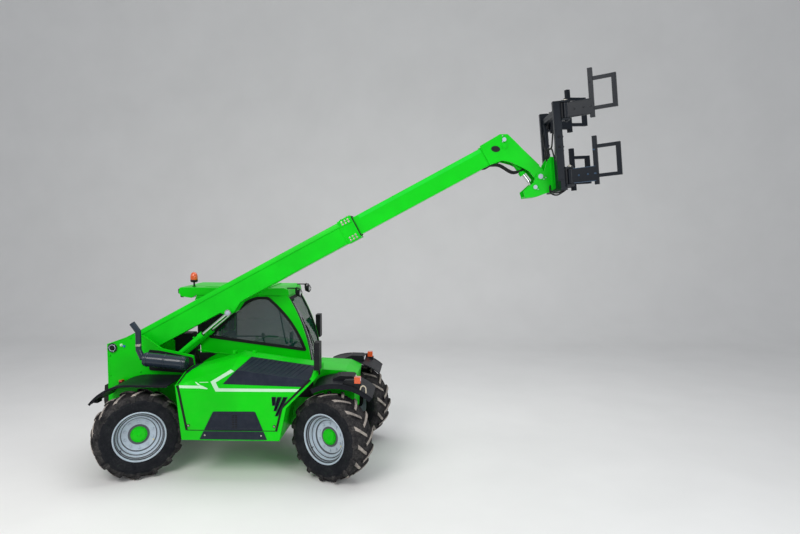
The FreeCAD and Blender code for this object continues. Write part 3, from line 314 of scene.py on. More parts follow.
class Shape:
    """Mesh put together from simple runs of faces, each with the number of its material."""

    def __init__(self):
        self.verts, self.faces, self.slots = [], [], []

    def add(self, verts, faces, slot=0, turn=None):
        start = len(self.verts)
        if turn is not None:
            verts = [turn @ Vector(v) for v in verts]
            if turn.determinant() < 0:
                faces = [tuple(reversed(f)) for f in faces]
        self.verts += [tuple(v) for v in verts]
        self.faces += [tuple(start + i for i in f) for f in faces]
        self.slots += [slot] * len(faces)

    def box(self, x, y, z, slot=0, turn=None):
        corners = [(a, b, c) for a in sorted(x) for b in sorted(y) for c in sorted(z)]
        faces = [(0, 1, 3, 2), (4, 6, 7, 5), (0, 4, 5, 1), (2, 3, 7, 6), (0, 2, 6, 4), (1, 5, 7, 3)]
        self.add(corners, faces, slot, turn)

    def prism(self, outline, y, slot=0, turn=None):
        """Outline of (x, z) points, drawn out between the pair y."""
        count = len(outline)
        area = sum(a[0] * b[1] - b[0] * a[1] for a, b in zip(outline, outline[1:] + outline[:1]))
        if area < 0:
            outline = outline[::-1]
        low, high = sorted(y)
        verts = [(x, low, z) for x, z in outline] + [(x, high, z) for x, z in outline]
        faces = [tuple(range(count)), tuple(reversed(range(count, 2 * count)))]
        for i in range(count):
            j = (i + 1) % count
            faces.append((i, i + count, j + count, j))
        self.add(verts, faces, slot, turn)

    def sheet(self, rows, slot=0, closed=False, turn=None):
        """Skin over rows of points, each row as long as the next."""
        width = len(rows[0])
        verts = [v for row in rows for v in row]
        faces = []
        for r in range(len(rows) - 1):
            for c in range(width if closed else width - 1):
                d = (c + 1) % width
                faces.append((r * width + c, r * width + d, (r + 1) * width + d, (r + 1) * width + c))
        self.add(verts, faces, slot, turn)

    def loft(self, rings, slot=0, turn=None):
        """Closed rings joined in turn and capped at both ends."""
        count = len(rings[0])
        self.sheet(rings, slot, True, turn)
        last = (len(rings) - 1) * count
        verts = [v for ring in rings for v in ring]
        self.add(verts, [tuple(reversed(range(count))), tuple(range(last, last + count))], slot, turn)

    def lathe(self, points, slot=0, sides=64, turn=None):
        """Outline of (radius, y) points turned about the y axis; slot may be a list, one a band."""
        rows = []
        for radius, y in points:
            rows.append([(radius * sin(2 * pi * i / sides), y, radius * cos(2 * pi * i / sides))
                         for i in range(sides)])
        slots = slot if isinstance(slot, list) else [slot] * (len(points) - 1)
        for row, following, number in zip(rows, rows[1:], slots):
            self.sheet([row, following], number, True, turn)

    def rod(self, start, end, radius, slot=0, sides=20, end_radius=None):
        start, end = Vector(start), Vector(end)
        along = (end - start).normalized()
        side = along.cross(Z if abs(along.z) < 0.9 else X).normalized()
        other = along.cross(side)
        rings = []
        for middle, r in ((start, radius), (end, end_radius or radius)):
            rings.append([middle + (side * cos(2 * pi * i / sides) + other * sin(2 * pi * i / sides)) * r
                          for i in range(sides)])
        self.loft(rings, slot)

    def tube(self, points, radius, slot=0, sides=10, steps=8):
        """Round tube along a smooth path through the points."""
        path = smooth_path([Vector(p) for p in points], steps)
        along = (path[1] - path[0]).normalized()
        side = along.cross(Y if abs(along.y) < 0.9 else X).normalized()
        rings = []
        for i, middle in enumerate(path):
            ahead = path[min(i + 1, len(path) - 1)] - path[max(i - 1, 0)]
            along = ahead.normalized()
            side = (side - along * side.dot(along)).normalized()
            other = along.cross(side)
            rings.append([middle + (side * cos(2 * pi * k / sides) + other * sin(2 * pi * k / sides)) * radius
                          for k in range(sides)])
        self.loft(rings, slot)

    def bolt(self, place, normal, size, slot=0, washer=True):
        """Hexagon head with its washer, standing on a surface."""
        place, normal = Vector(place), Vector(normal).normalized()
        base = place
        if washer:
            self.rod(place, place + normal * size * 0.14, size * 0.78, slot, 16)
            base = place + normal * size * 0.12
        self.rod(base, base + normal * size * 0.5, size * 0.56, slot, 6)

    def make(self, name, body, materials, bevel=0.0, replaces=(), smooth=35):
        mesh = bpy.data.meshes.new(name)
        mesh.from_pydata(self.verts, [], self.faces)
        for material in materials if isinstance(materials, (list, tuple)) else [materials]:
            mesh.materials.append(material)
        mesh.polygons.foreach_set("material_index", self.slots)
        mesh.polygons.foreach_set("use_smooth", [True] * len(self.faces))
        mesh.update()
        work = bmesh.new()
        work.from_mesh(mesh)
        bmesh.ops.remove_doubles(work, verts=work.verts, dist=1e-6)
        bmesh.ops.recalc_face_normals(work, faces=work.faces)
        work.to_mesh(mesh)
        work.free()
        mesh.set_sharp_from_angle(angle=radians(smooth))
        piece = bpy.data.objects.new(name, mesh)
        bpy.context.scene.collection.objects.link(piece)
        if bevel:
            edge = piece.modifiers.new("edge", "BEVEL")
            edge.width, edge.segments, edge.limit_method = bevel, 2, "ANGLE"
            edge.harden_normals = True
        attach(piece, body)
        if replaces:
            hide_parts(*replaces)
        return piece


def smooth_path(points, steps):
    """Points of a curve that passes through the given ones."""
    if len(points) < 3:
        return points
    path = []
    ends = [points[0] * 2 - points[1]] + points + [points[-1] * 2 - points[-2]]
    for a, b, c, d in zip(ends, ends[1:], ends[2:], ends[3:]):
        for i in range(steps):
            t = i / steps
            path.append(0.5 * ((2 * b) + (c - a) * t + (2 * a - 5 * b + 4 * c - d) * t ** 2
                               + (3 * b - a - 3 * c + d) * t ** 3))
    return path + [points[-1]]


def dress(material, *nodes):
    """Give CAD nodes a material."""
    for name in nodes:
        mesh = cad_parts[name].data
        mesh.materials.clear()
        mesh.materials.append(material)


# Wheels, built about the wheel's middle with the outside towards -y

CORNERS = {"front_right": (1, -1), "front_left": (1, 1), "rear_right": (-1, -1), "rear_left": (-1, 1)}


def wheel_place(end, side):
    flip = Matrix.Scale(-1 if side > 0 else 1, 4, Y)
    turn = Matrix.Rotation(-end * STEER, 4, "Z")
    return (Matrix.Translation(at(end * WHEELBASE / 2, side * KINGPIN_Y, TYRE_RADIUS)) @ turn @ flip
            @ Matrix.Translation((0, -WHEEL_OFFSET, 0)))


def tyre_shape(turn):
    half = TYRE_WIDTH / 2
    tread = TYRE_RADIUS - LUG_HEIGHT
    sections = [(BEAD_RADIUS, -half + 0.052), (BEAD_RADIUS + 0.016, -half + 0.030),
                (BEAD_RADIUS + 0.026, -half + 0.022), (BEAD_RADIUS + 0.034, -half + 0.026),
                (BEAD_RADIUS + 0.060, -half + 0.010), (BEAD_RADIUS + 0.105, -half + 0.002),
                (BEAD_RADIUS + 0.150, -half), (BEAD_RADIUS + 0.158, -half - 0.003),
                (BEAD_RADIUS + 0.166, -half), (tread - 0.060, -half + 0.004), (tread - 0.030, -half + 0.014),
                (tread - 0.012, -half + 0.034), (tread - 0.004, -half + 0.075), (tread, -half * 0.3)]
    outline = sections + [(r, -y) for r, y in reversed(sections)]
    bands = [0] * 9 + [1] * (len(outline) - 19) + [0] * 9
    shape = Shape()
    shape.lathe(outline, bands, 120, turn)
    step = 2 * pi / LUGS_A_SIDE
    # One row of the table is a cut across the lug: y, base radius, top radius, base width, top width.
    cuts = [(0.012, tread - 0.012, TYRE_RADIUS - 0.003, 0.060, 0.040),
            (-0.050, tread - 0.012, TYRE_RADIUS, 0.062, 0.044),
            (-0.100, tread - 0.014, TYRE_RADIUS - 0.002, 0.066, 0.048),
            (-0.150, tread - 0.022, TYRE_RADIUS - 0.007, 0.074, 0.054),
            (-0.184, tread - 0.034, TYRE_RADIUS - 0.018, 0.084, 0.060),
            (-0.199, tread - 0.055, TYRE_RADIUS - 0.040, 0.088, 0.064),
            (-0.203, tread - 0.095, TYRE_RADIUS - 0.078, 0.080, 0.058)]
    for side in (-1, 1):
        for number in range(LUGS_A_SIDE):
            middle = (number + (0.5 if side > 0 else 0)) * step
            rings = []
            for y, low, high, wide, narrow in cuts:
                shift = -abs(min(y, 0) - 0.02) * 0.86 / TYRE_RADIUS + 0.16
                shift += 0.0 if y > -0.18 else 0.012 * (abs(y) - 0.18) / 0.02
                ring = []
                for radius, across in ((low, -wide / 2), (high - 0.005, -narrow / 2 - 0.002),
                                       (high, -narrow / 2 + 0.004), (high, narrow / 2 - 0.004),
                                       (high - 0.005, narrow / 2 + 0.002), (low, wide / 2)):
                    angle = middle + shift + across / TYRE_RADIUS
                    out = y
                    if y < -0.19:
                        out = y - (0.004 if radius > low else -0.012)
                    ring.append((radius * sin(angle), out * (1 if side < 0 else -1), radius * cos(angle)))
                rings.append(ring)
            body = Shape()
            body.sheet(rings, 1, True)
            body.add(rings[0], [(0, 1, 2, 3, 4, 5)], 1)
            body.add(rings[-1], [(0, 1, 2, 3, 4, 5)], 1)
            body.slots = [2 if face_on_top(f, body.verts) else s for f, s in zip(body.faces, body.slots)]
            for face, slot in zip(body.faces, body.slots):
                shape.add([body.verts[i] for i in face], [tuple(range(len(face)))], slot, turn)
    return shape


def face_on_top(face, verts):
    """A lug's face that lies on the tyre's outer round."""
    corners = [verts[i] for i in face]
    return len(face) == 4 and min(hypot(v[0], v[2]) for v in corners) > TYRE_RADIUS - 0.045 and (
        max(hypot(v[0], v[2]) for v in corners) - min(hypot(v[0], v[2]) for v in corners) < 0.024) and (
        all(abs(v[1]) < 0.2 for v in corners))


def rim_shape(turn):
    half = TYRE_WIDTH / 2
    lip = half - 0.030
    profile = [(0.322, lip), (0.344, lip + 0.006), (0.346, lip - 0.004), (0.326, lip - 0.012), (0.318, lip - 0.04),
               (0.300, lip - 0.07), (0.298, 0.02), (0.170, -0.008), (0.130, -0.012), (0.110, -0.012), (0, -0.012)]
    face = [(0.316, -lip + 0.03), (0.330, -lip + 0.004), (0.340, -lip - 0.004), (0.349, -lip - 0.002),
            (0.351, -lip - 0.010), (0.345, -lip - 0.016), (0.336, -lip - 0.014), (0.327, -lip - 0.002),
            (0.322, -lip + 0.020), (0.314, -0.132), (0.300, -0.126), (0.294, -0.122), (0.290, -0.100),
            (0.285, -0.094), (0.278, -0.096), (0.270, -0.092), (0.264, -0.066), (0.254, -0.060),
            (0.240, -0.062), (0.232, -0.058), (0.226, -0.044), (0.214, -0.038), (0.180, -0.038),
            (0.150, -0.040), (0.142, -0.046), (0.112, -0.048)]
    shape = Shape()
    shape.lathe(profile, 0, 96, turn)
    # Bands that lie in the rim's grooves take the dark grey slot: painted shade in the recesses.
    shaded_grooves = {7, 8, 9, 13, 14, 18, 19, 24}
    shape.lathe(face, [5 if i in shaded_grooves else 0 for i in range(len(face) - 1)], 96, turn)
    shape.lathe([(0.112, -0.046), (HUB_CAP_RADIUS, -0.060), (0.104, -0.068), (0.090, -0.070), (0.084, -0.076),
                 (0.060, -0.078), (0.028, -0.078), (0.024, -0.083), (0, -0.084)], 1, 64, turn)
    for i in range(10):
        angle = 2 * pi * i / 10
        place = turn @ Vector((0.186 * sin(angle), -0.037, 0.186 * cos(angle)))
        out = turn.to_3x3() @ Vector((0, -1, 0))
        shape.bolt(place, out, 0.026, 2)
    for i in range(8):
        angle = 2 * pi * (i + 0.5) / 8
        place = Vector((0.094 * sin(angle), -0.0735, 0.094 * cos(angle)))
        shape.bolt(turn @ place, turn.to_3x3() @ Vector((0, -1, 0)), 0.013, 1, False)
    valve = [Vector((0.296 * sin(a), y, 0.296 * cos(a))) for a, y in ((4.1, -0.108), (4.1, -0.152))]
    shape.rod(turn @ valve[0], turn @ valve[1], 0.006, 3, 10)
    tag = [(0.205 * sin(a) + dx, -0.0405, 0.205 * cos(a) + dz) for a, dx, dz in
           ((2.05, 0.0, 0.0), (2.05, 0.034, 0.0), (2.05, 0.034, -0.030), (2.05, 0.0, -0.030))]
    shape.add(tag + [(x, -0.036, z) for x, y, z in tag],
              [(0, 1, 2, 3), (7, 6, 5, 4), (0, 4, 5, 1), (1, 5, 6, 2), (2, 6, 7, 3), (3, 7, 4, 0)], 4, turn)
    return shape


for corner, (end, side) in CORNERS.items():
    place = wheel_place(end, side)
    tyre_shape(place).make(f"tyre_tread_{corner}", f"wheel_{corner}", [tyre_side, tyre_tread, lug_top],
                           replaces=[f"tyre_{corner}"], smooth=40)
    rim_shape(place).make(f"rim_dish_{corner}", f"wheel_{corner}", [silver, green, silver, black_plastic, yellow, rim_groove_shade],
                          replaces=[f"rim_{corner}"], smooth=30)


# Engine side, on the right

def ring(outline, inset):
    """The outline, moved inwards by inset along its mitres."""
    area = sum(a[0] * b[1] - b[0] * a[1] for a, b in zip(outline, outline[1:] + outline[:1]))
    inward = 1 if area > 0 else -1
    moved = []
    for i, point in enumerate(outline):
        before, after = Vector(outline[i - 1]), Vector(outline[(i + 1) % len(outline)])
        here = Vector(point)
        one, two = (here - before).normalized(), (after - here).normalized()
        first, second = Vector((-one.y, one.x)) * inward, Vector((-two.y, two.x)) * inward
        mitre = (first + second).normalized()
        moved.append(tuple(here + mitre * inset / max(0.4, mitre.dot(first))))
    return moved


def rounded(outline, radius, steps=5):
    """The outline with its corners rounded; a corner's radius shrinks where its edges are short."""
    path = []
    for i, point in enumerate(outline):
        before, here, after = Vector(outline[i - 1]), Vector(point), Vector(outline[(i + 1) % len(outline)])
        reach = min(radius, (before - here).length * 0.45, (after - here).length * 0.45)
        start, end = here + (before - here).normalized() * reach, here + (after - here).normalized() * reach
        for k in range(steps + 1):
            t = k / steps
            path.append(tuple(start * (1 - t) ** 2 + here * 2 * t * (1 - t) + end * t * t))
    return path


def band(shape, outline, width, y, slot=0):
    """Flat frame between the outline and the outline set in by width, through the pair y."""
    inner = ring(outline, width)
    low, high = sorted(y)
    rows = [[(a, low, b) for a, b in outline], [(a, high, b) for a, b in outline],
            [(a, high, b) for a, b in inner], [(a, low, b) for a, b in inner]]
    shape.sheet(rows + rows[:1], slot, True)


def strip(shape, path, width, y, slot=0):
    """Flat strip of even width along a path of (x, z) points, through the pair y."""
    left, right = [], []
    for i, point in enumerate(path):
        ahead = Vector(path[min(i + 1, len(path) - 1)]) - Vector(path[max(i - 1, 0)])
        square = Vector((-ahead.y, ahead.x)).normalized() * width / 2
        left.append(tuple(Vector(point) + square))
        right.append(tuple(Vector(point) - square))
    for near, far, near_low, far_low in zip(left, left[1:], right, right[1:]):
        shape.prism([near, far, far_low, near_low], y, slot)


def shifted(points):
    """Outline of (x, z) points given from the middle of the wheelbase."""
    return [(MID + x, z) for x, z in points]


def bay_drop(x):
    return 0.232 * (0.020 - x) / 0.810 if x < 0.020 else 0.160 * (x - 0.020) / 1.170


def bay_slope(x, y):
    """Height of the bay's slanted top."""
    if y < -0.700:
        return 1.560 + 0.108 * (y + 1.062) / 0.362 - bay_drop(x)
    return 1.668 + 0.020 * (y + 0.700) / 0.290 - bay_drop(x)


def flank_y(x, z):
    """How far out the bay's flank lies."""
    top = 1.560 - bay_drop(x)
    return BAY_SIDE + 0.018 * min(1.0, max(0.0, (z - 1.345) / (top - 1.345)))


def flank_patch(shape, corners, lift=0.003, slot=0):
    """Four-sided patch lying on the flank, its corners (x, z) in turn."""
    rows = []
    a, b, c, d = (Vector(p) for p in corners)
    for i in range(9):
        near, far = a.lerp(d, i / 8), b.lerp(c, i / 8)
        row = []
        for k in range(3):
            p = near.lerp(far, k / 2)
            row.append(at(p.x, flank_y(p.x, p.y) - lift, p.y))
        rows.append(row)
    shape.sheet(rows, slot)
    shape.sheet([[p + Y * (lift + 0.002) for p in row] for row in rows], slot)


def slope_strip(shape, path, width, lift=0.003, slot=0):
    """Strip of even width on the bay's slanted top, along a path of (x, y) points."""
    for start, end in zip(path, path[1:]):
        start, end = Vector(start), Vector(end)
        square = Vector((start.y - end.y, end.x - start.x)).normalized() * width / 2
        rows = []
        for i in range(7):
            p = start.lerp(end, i / 6)
            row = []
            for q, height in ((p - square, -0.004), (p - square, lift), (p + square, lift), (p + square, -0.004)):
                row.append(at(q.x, q.y, bay_slope(q.x, q.y) + height))
            rows.append(row)
        shape.sheet(rows, slot, True)


def slope_patch(shape, rows, lift=0.003, slot=0):
    """Patch lying on the bay's slanted top; each row gives y and the two ends' x."""
    sheet = []
    for y, start, end in rows:
        sheet.append([at(x, y, bay_slope(x, y) + height)
                      for x, height in ((start, -0.004), (start, lift), (end, lift), (end, -0.004))])
    shape.sheet(sheet, slot, True)


def side_details():
    out = BAY_SIDE - 0.0035
    seams = Shape()
    strip(seams, shifted([(-0.733, 1.334), (-0.720, 1.292), (-0.612, 0.716)]), 0.030, (out, BAY_SIDE + 0.012))
    slope_strip(seams, [(-0.733, -1.058), (-0.733, -0.700), (-0.733, -0.445)], 0.026)
    strip(seams, shifted([(-0.610, 0.716), (0.626, 0.716)]), 0.011, (out + 0.002, BAY_SIDE + 0.012))
    strip(seams, shifted([(0.626, 0.712), (0.706, 1.038), (1.098, 1.430)]), 0.030, (out, BAY_SIDE + 0.012))
    seams.make("hood_seal", "chassis", seal_rubber, 0.001)

    stripes = Shape()
    flank_patch(stripes, [(-0.704, 1.338), (-0.698, 1.300), (-0.430, 1.298), (-0.382, 1.336)])
    flank_patch(stripes, [(-0.382, 1.336), (-0.430, 1.298), (-0.312, 1.288), (-0.306, 1.298)])
    flank_patch(stripes, [(-0.392, 1.334), (-0.440, 1.342), (-0.486, 1.384), (-0.470, 1.386)])
    flank_patch(stripes, [(-0.420, 1.384), (-0.424, 1.376), (-0.300, 1.380), (-0.296, 1.388)])
    flank_patch(stripes, [(-0.268, 1.392), (-0.196, 1.382), (0.058, 1.536), (0.010, 1.560)])
    flank_patch(stripes, [(-0.268, 1.392), (-0.196, 1.382), (-0.156, 1.302), (-0.200, 1.257)])
    flank_patch(stripes, [(-0.156, 1.302), (-0.200, 1.257), (0.912, 1.262), (0.952, 1.302)])
    stripes.make("hood_stripe", "hood", white_stripe)

    corner = Shape()
    slope_patch(corner, [(-0.425, -0.718, -0.600), (-0.640, -0.718, -0.640), (-0.700, -0.718, -0.660),
                         (-0.775, -0.716, -0.694), (-0.800, -0.715, -0.708)])
    corner.make("hood_corner", "hood", hood_plastic)

    louvres = Shape()
    slats = ((0.575, 0.583, 1.075), (0.655, 0.600, 1.000), (0.735, 0.617, 0.930))
    for top, low, foot in slats:
        frame_line = shifted([(top - 0.006, 1.190), (top + 0.058, 1.190), (low + 0.036, foot - 0.006),
                              (low - 0.006, foot - 0.006)])
        band(louvres, frame_line, 0.008, (BAY_SIDE - 0.006, BAY_SIDE + 0.02))
        louvres.prism(ring(frame_line, 0.002), (BAY_SIDE + 0.034, BAY_SIDE + 0.040))
        count = round((1.184 - foot) / 0.022)
        for i in range(count):
            t = (i + 0.5) / count
            x, z = top + (low - top) * t, 1.184 + (foot - 1.184) * t
            width = 0.052 - 0.022 * t
            louvres.prism(shifted([(x, z), (x + width, z), (x + width, z - 0.005), (x, z - 0.005)]),
                          (BAY_SIDE + 0.002, BAY_SIDE + 0.036))
    louvres.make("louvre_frames", "hood", hood_plastic, 0.001)

    panel = Shape()
    outline = shifted([(-0.369, 0.722), (-0.240, 0.980), (0.340, 0.984), (0.448, 0.722)])
    panel.prism(rounded(outline, 0.02), (BAY_SIDE - 0.006, BAY_SIDE + 0.004))
    band(panel, rounded(ring(outline, 0.020), 0.02), 0.010, (BAY_SIDE - 0.010, BAY_SIDE))
    for i in range(8):
        z = 0.930 - i * 0.024
        for x in (0.020, 0.062):
            panel.prism(shifted([(x, z), (x + 0.032, z), (x + 0.032, z - 0.010), (x, z - 0.010)]),
                        (BAY_SIDE - 0.010, BAY_SIDE), 1)
    panel.make("hood_panel", "hood", [hood_plastic, seal_rubber], 0.0015)

    low = Shape()
    outline = shifted([(-0.378, 0.706), (0.455, 0.706), (0.500, 0.592), (-0.435, 0.592)])
    low.prism(rounded(outline, 0.012), (BAY_SIDE - 0.005, BAY_SIDE + 0.004))
    for x in (-0.36, 0.42):
        low.bolt(at(x, BAY_SIDE - 0.005, 0.650), (0, -1, 0), 0.016, 1)
    low.make("sill_panel", "chassis", [hood_plastic, zinc], 0.0015)

    catches = Shape()
    for x, z in ((-0.585, 0.780), (0.600, 0.780)):
        catches.rod(at(x, BAY_SIDE - 0.006, z), at(x, BAY_SIDE + 0.004, z), 0.020, 0, 28)
        catches.rod(at(x, BAY_SIDE - 0.009, z), at(x, BAY_SIDE - 0.005, z), 0.012, 1, 20)
        catches.box((MID + x - 0.002, MID + x + 0.002), (BAY_SIDE - 0.0095, BAY_SIDE - 0.008), (z - 0.010, z + 0.010))
    catches.make("hood_catches", "hood", [black_plastic, zinc], 0.0008)


side_details()


# Muffler and exhaust

def muffler_details():
    parts = Shape()
    start, end = Vector(at(-1.345, -0.70, MUFFLER_Z[0])), Vector(at(-0.760, -0.70, MUFFLER_Z[1]))
    along = (end - start).normalized()
    for t in (0.06, 0.5, 0.94):
        middle = start.lerp(end, t)
        rings = []
        for offset, radius in ((-0.014, 0.0), (-0.014, 0.004), (-0.008, 0.007), (0.008, 0.007), (0.014, 0.004),
                               (0.014, 0.0)):
            rings.append((MUFFLER_RADIUS + radius, offset))
        turn = Matrix.Translation(middle) @ Vector((0, 1, 0)).rotation_difference(along).to_matrix().to_4x4()
        parts.lathe(rings, 0, 64, turn)
    for x in (-1.20, -0.90):
        parts.box((MID + x - 0.02, MID + x + 0.02), (-0.72, -0.44), (1.50, 1.512))
    parts.make("muffler_bands", "chassis", muffler_paint)

    # Thin black sheet on the tower plate behind the muffler: painted shadow where the muffler shades the plate.
    shadow_sheet = Shape()
    outline = shifted([(-1.430, 1.380), (-1.430, 1.690), (-1.250, 1.676), (-0.766, 1.578), (-0.746, 1.420),
                       (-0.860, 1.345)])
    shadow_sheet.prism(rounded(outline, 0.03), (-0.408, -0.4005))
    shadow_sheet.make("muffler_shadow_sheet", "chassis", frame_black, 0.001)

    # Black plate in the gap behind the bay's front edge, above the tyre: painted shade of the frame side there.
    shade_plate = Shape()
    shade_plate.prism(shifted([(0.66, 0.992), (1.03, 0.992), (1.03, 1.40), (0.84, 1.26)]), (-0.399, -0.377))
    shade_plate.make("nose_shade_plate", "chassis", frame_black, 0.001)

    pipe = Shape()
    pipe.lathe([(PIPE_RADIUS + 0.001, 0.0), (PIPE_RADIUS + 0.003, 0.002), (PIPE_RADIUS + 0.003, 0.03),
                (PIPE_RADIUS + 0.001, 0.032)], 0, 40,
               Matrix.Translation(at(-1.438, -0.70, 1.80)) @ Matrix.Rotation(radians(90), 4, "X"))
    pipe.make("exhaust_clamp", "chassis", zinc)


MUFFLER_RADIUS, MUFFLER_Z, PIPE_RADIUS = 0.098, (1.612, 1.556), 0.041
muffler_details()


# Cab

def arc_points(start, through, end, steps=18):
    """Points of the arc through three (x, z) points."""
    (ax, ay), (bx, by), (cx, cy) = start, through, end
    d = 2 * (ax * (by - cy) + bx * (cy - ay) + cx * (ay - by))
    ux = ((ax * ax + ay * ay) * (by - cy) + (bx * bx + by * by) * (cy - ay) + (cx * cx + cy * cy) * (ay - by)) / d
    uy = ((ax * ax + ay * ay) * (cx - bx) + (bx * bx + by * by) * (ax - cx) + (cx * cx + cy * cy) * (bx - ax)) / d
    first, middle, last = (atan2(y - uy, x - ux) for x, y in (start, through, end))
    sweep = (last - first) % (2 * pi)
    if (middle - first) % (2 * pi) > sweep:
        sweep -= 2 * pi
    radius = hypot(ax - ux, ay - uy)
    return [(ux + radius * cos(first + sweep * i / steps), uy + radius * sin(first + sweep * i / steps))
            for i in range(steps + 1)]


RIGHT_WINDOW = ([(-0.722, 1.791)] + arc_points((-0.170, 2.298), (0.010, 2.398), (0.225, 2.405))
                + arc_points((0.225, 2.405), (0.566, 2.045), (0.801, 1.590))[1:])
SCREEN = arc_points((0.890, 1.330), (0.782, 1.880), (0.520, ROOF_TOP - 0.118), 40)


def doorway(inset):
    knee = (0.812 - inset, 1.400)
    return ([(-0.640 + inset, 0.775 + inset), (-0.640 + inset, 2.385 - inset)]
            + arc_points((0.420 - inset, 2.385 - inset), (0.700 - inset, 1.905), knee)
            + [(0.690 - inset, 0.775 + inset)])


def screen_x(z):
    """How far forward the windscreen's outside lies at a height."""
    for (x0, z0), (x1, z1) in zip(SCREEN, SCREEN[1:]):
        if min(z0, z1) <= z <= max(z0, z1):
            return x0 + (x1 - x0) * (z - z0) / (z1 - z0)
    return SCREEN[0][0] if z < SCREEN[0][1] else SCREEN[-1][0]


def screen_band(shape, y, z, out=0.004, slot=0, steps=20):
    """Strip lying on the windscreen between the pairs y and z."""
    rows = []
    for i in range(steps + 1):
        h = z[0] + (z[1] - z[0]) * i / steps
        x = screen_x(h)
        rows.append([at(x - 0.01, y[0], h), at(x + out - 0.0015, y[0], h), at(x + out, y[0] + 0.002, h),
                     at(x + out, y[1] - 0.002, h), at(x + out - 0.0015, y[1], h), at(x - 0.01, y[1], h)])
    shape.sheet(rows, slot, True)


def cab_seals():
    seals = Shape()
    window = rounded(shifted(RIGHT_WINDOW), 0.05)
    band(seals, ring(window, -0.016), 0.034, (CAB_RIGHT - 0.006, CAB_RIGHT + 0.012))
    band(seals, ring(window, 0.010), 0.020, (CAB_RIGHT + 0.002, CAB_RIGHT + 0.016))
    left, right = CAB_RIGHT + 0.060, CAB_LEFT - 0.060
    screen_band(seals, (left - 0.022, left + 0.034), (1.336, 2.415))
    screen_band(seals, (right - 0.034, right + 0.022), (1.336, 2.415))
    screen_band(seals, (left, right), (1.334, 1.372), steps=3)
    screen_band(seals, (left, right), (2.372, 2.415), steps=4)
    rear = rounded([(CAB_RIGHT + 0.090, 1.650), (CAB_LEFT - 0.090, 1.650), (CAB_LEFT - 0.090, 2.380),
                    (CAB_RIGHT + 0.090, 2.380)], 0.06)
    turn = Matrix.Translation(at(-0.905, 0, 0)) @ Matrix.Rotation(radians(90), 4, "Z")
    band(seals, ring(rear, -0.014), 0.030, (-0.014, 0.006), 0)
    count = 5 * len(rear)
    seals.verts[-count:] = [tuple(turn @ Vector(v)) for v in seals.verts[-count:]]
    seals.make("cab_window_rubber", "chassis", seal_rubber, 0.001)

    door = Shape()
    outer = rounded(shifted(doorway(0.060)), 0.06)
    band(door, ring(outer, -0.008), 0.026, (CAB_LEFT - 0.004, CAB_LEFT + 0.004))
    band(door, rounded(shifted(doorway(0.004)), 0.04), 0.006, (CAB_LEFT - 0.010, CAB_LEFT + 0.003))
    door.box((MID - 0.57, MID + 0.70), (CAB_LEFT - 0.004, CAB_LEFT + 0.004), (1.000, 1.028))
    door.make("door_rubber", "door", seal_rubber, 0.001)


def cab_trim():
    trim = Shape()
    strip(trim, shifted([(-0.895, 1.585), (-0.614, 1.540), (0.735, 1.418), (0.872, 1.390)]), 0.016,
          (CAB_RIGHT - 0.010, CAB_RIGHT + 0.004))
    strip(trim, shifted([(-0.880, 2.420), (-0.300, 2.432), (0.430, 2.432)]), 0.012,
          (CAB_RIGHT - 0.010, CAB_RIGHT + 0.004))
    trim.make("cab_ledges", "chassis", green, 0.002)

    dark = Shape()
    face = (CAB_RIGHT - 0.005, CAB_RIGHT + 0.006)
    dark.prism(shifted([(-0.896, 1.748), (-0.740, 1.768), (-0.742, 1.812), (-0.400, 2.118), (-0.400, 2.330),
                        (-0.896, 2.330)]), face)
    dark.prism(shifted([(-0.880, 1.545), (-0.549, 1.548), (-0.700, 1.470), (-0.822, 1.391), (-0.850, 1.200)]), face)
    dark.make("cab_rear_trim", "chassis", black_plastic, 0.002)

    wiper = Shape()
    pivot = at(screen_x(1.36) + 0.030, 0.62, 1.352)
    tip = at(screen_x(1.95) + 0.022, 0.33, 1.95)
    wiper.rod(pivot - X * 0.035, pivot + X * 0.010, 0.020, 0, 24)
    wiper.tube([pivot, pivot.lerp(tip, 0.5) + X * 0.018, tip], 0.007, 0, 8)
    blade = [at(screen_x(z) + 0.010, y, z) for y, z in ((0.42, 1.60), (0.38, 1.76), (0.34, 1.92), (0.30, 2.08))]
    wiper.tube(blade, 0.007, 0, 8)
    wiper.tube([p - X * 0.006 for p in blade], 0.004, 0, 6)
    wiper.make("wiper", "chassis", black_plastic)

    roof = Shape()
    for y in (CAB_RIGHT - 0.016, CAB_LEFT + 0.004):
        strip(roof, shifted([(-1.150, ROOF_TOP - 0.030), (-1.10, ROOF_TOP - 0.020), (0.470, ROOF_TOP - 0.028),
                             (0.532, ROOF_TOP - 0.058)]), 0.010, (y, y + 0.012))
    roof.make("roof_gutter", "chassis", green, 0.0015)

    panel = Shape()
    for x in (-0.80, -0.40, 0.0):
        panel.box((MID + x, MID + x + 0.24), (CAB_RIGHT + 0.10, CAB_LEFT - 0.10), (ROOF_TOP - 0.001, ROOF_TOP + 0.006))
    panel.make("roof_ribs", "chassis", green, 0.003)

    hook = Shape()
    y = CAB_RIGHT + 0.055
    hook.rod(at(-1.135, y, ROOF_TOP - 0.128), at(-1.170, y, ROOF_TOP - 0.128), 0.034, 0, 28)
    hook.rod(at(-1.168, y, ROOF_TOP - 0.128), at(-1.174, y, ROOF_TOP - 0.128), 0.028, 1, 28)
    hook.tube([at(-0.925, y - 0.045, 2.370), at(-0.900, y - 0.045, 2.425), at(-0.850, y - 0.045, 2.470),
               at(-0.755, y - 0.045, 2.512), at(-0.642, y - 0.045, 2.522)], 0.011, 2)
    hook.make("roof_hook", "chassis", [black_plastic, clear_lens, green])


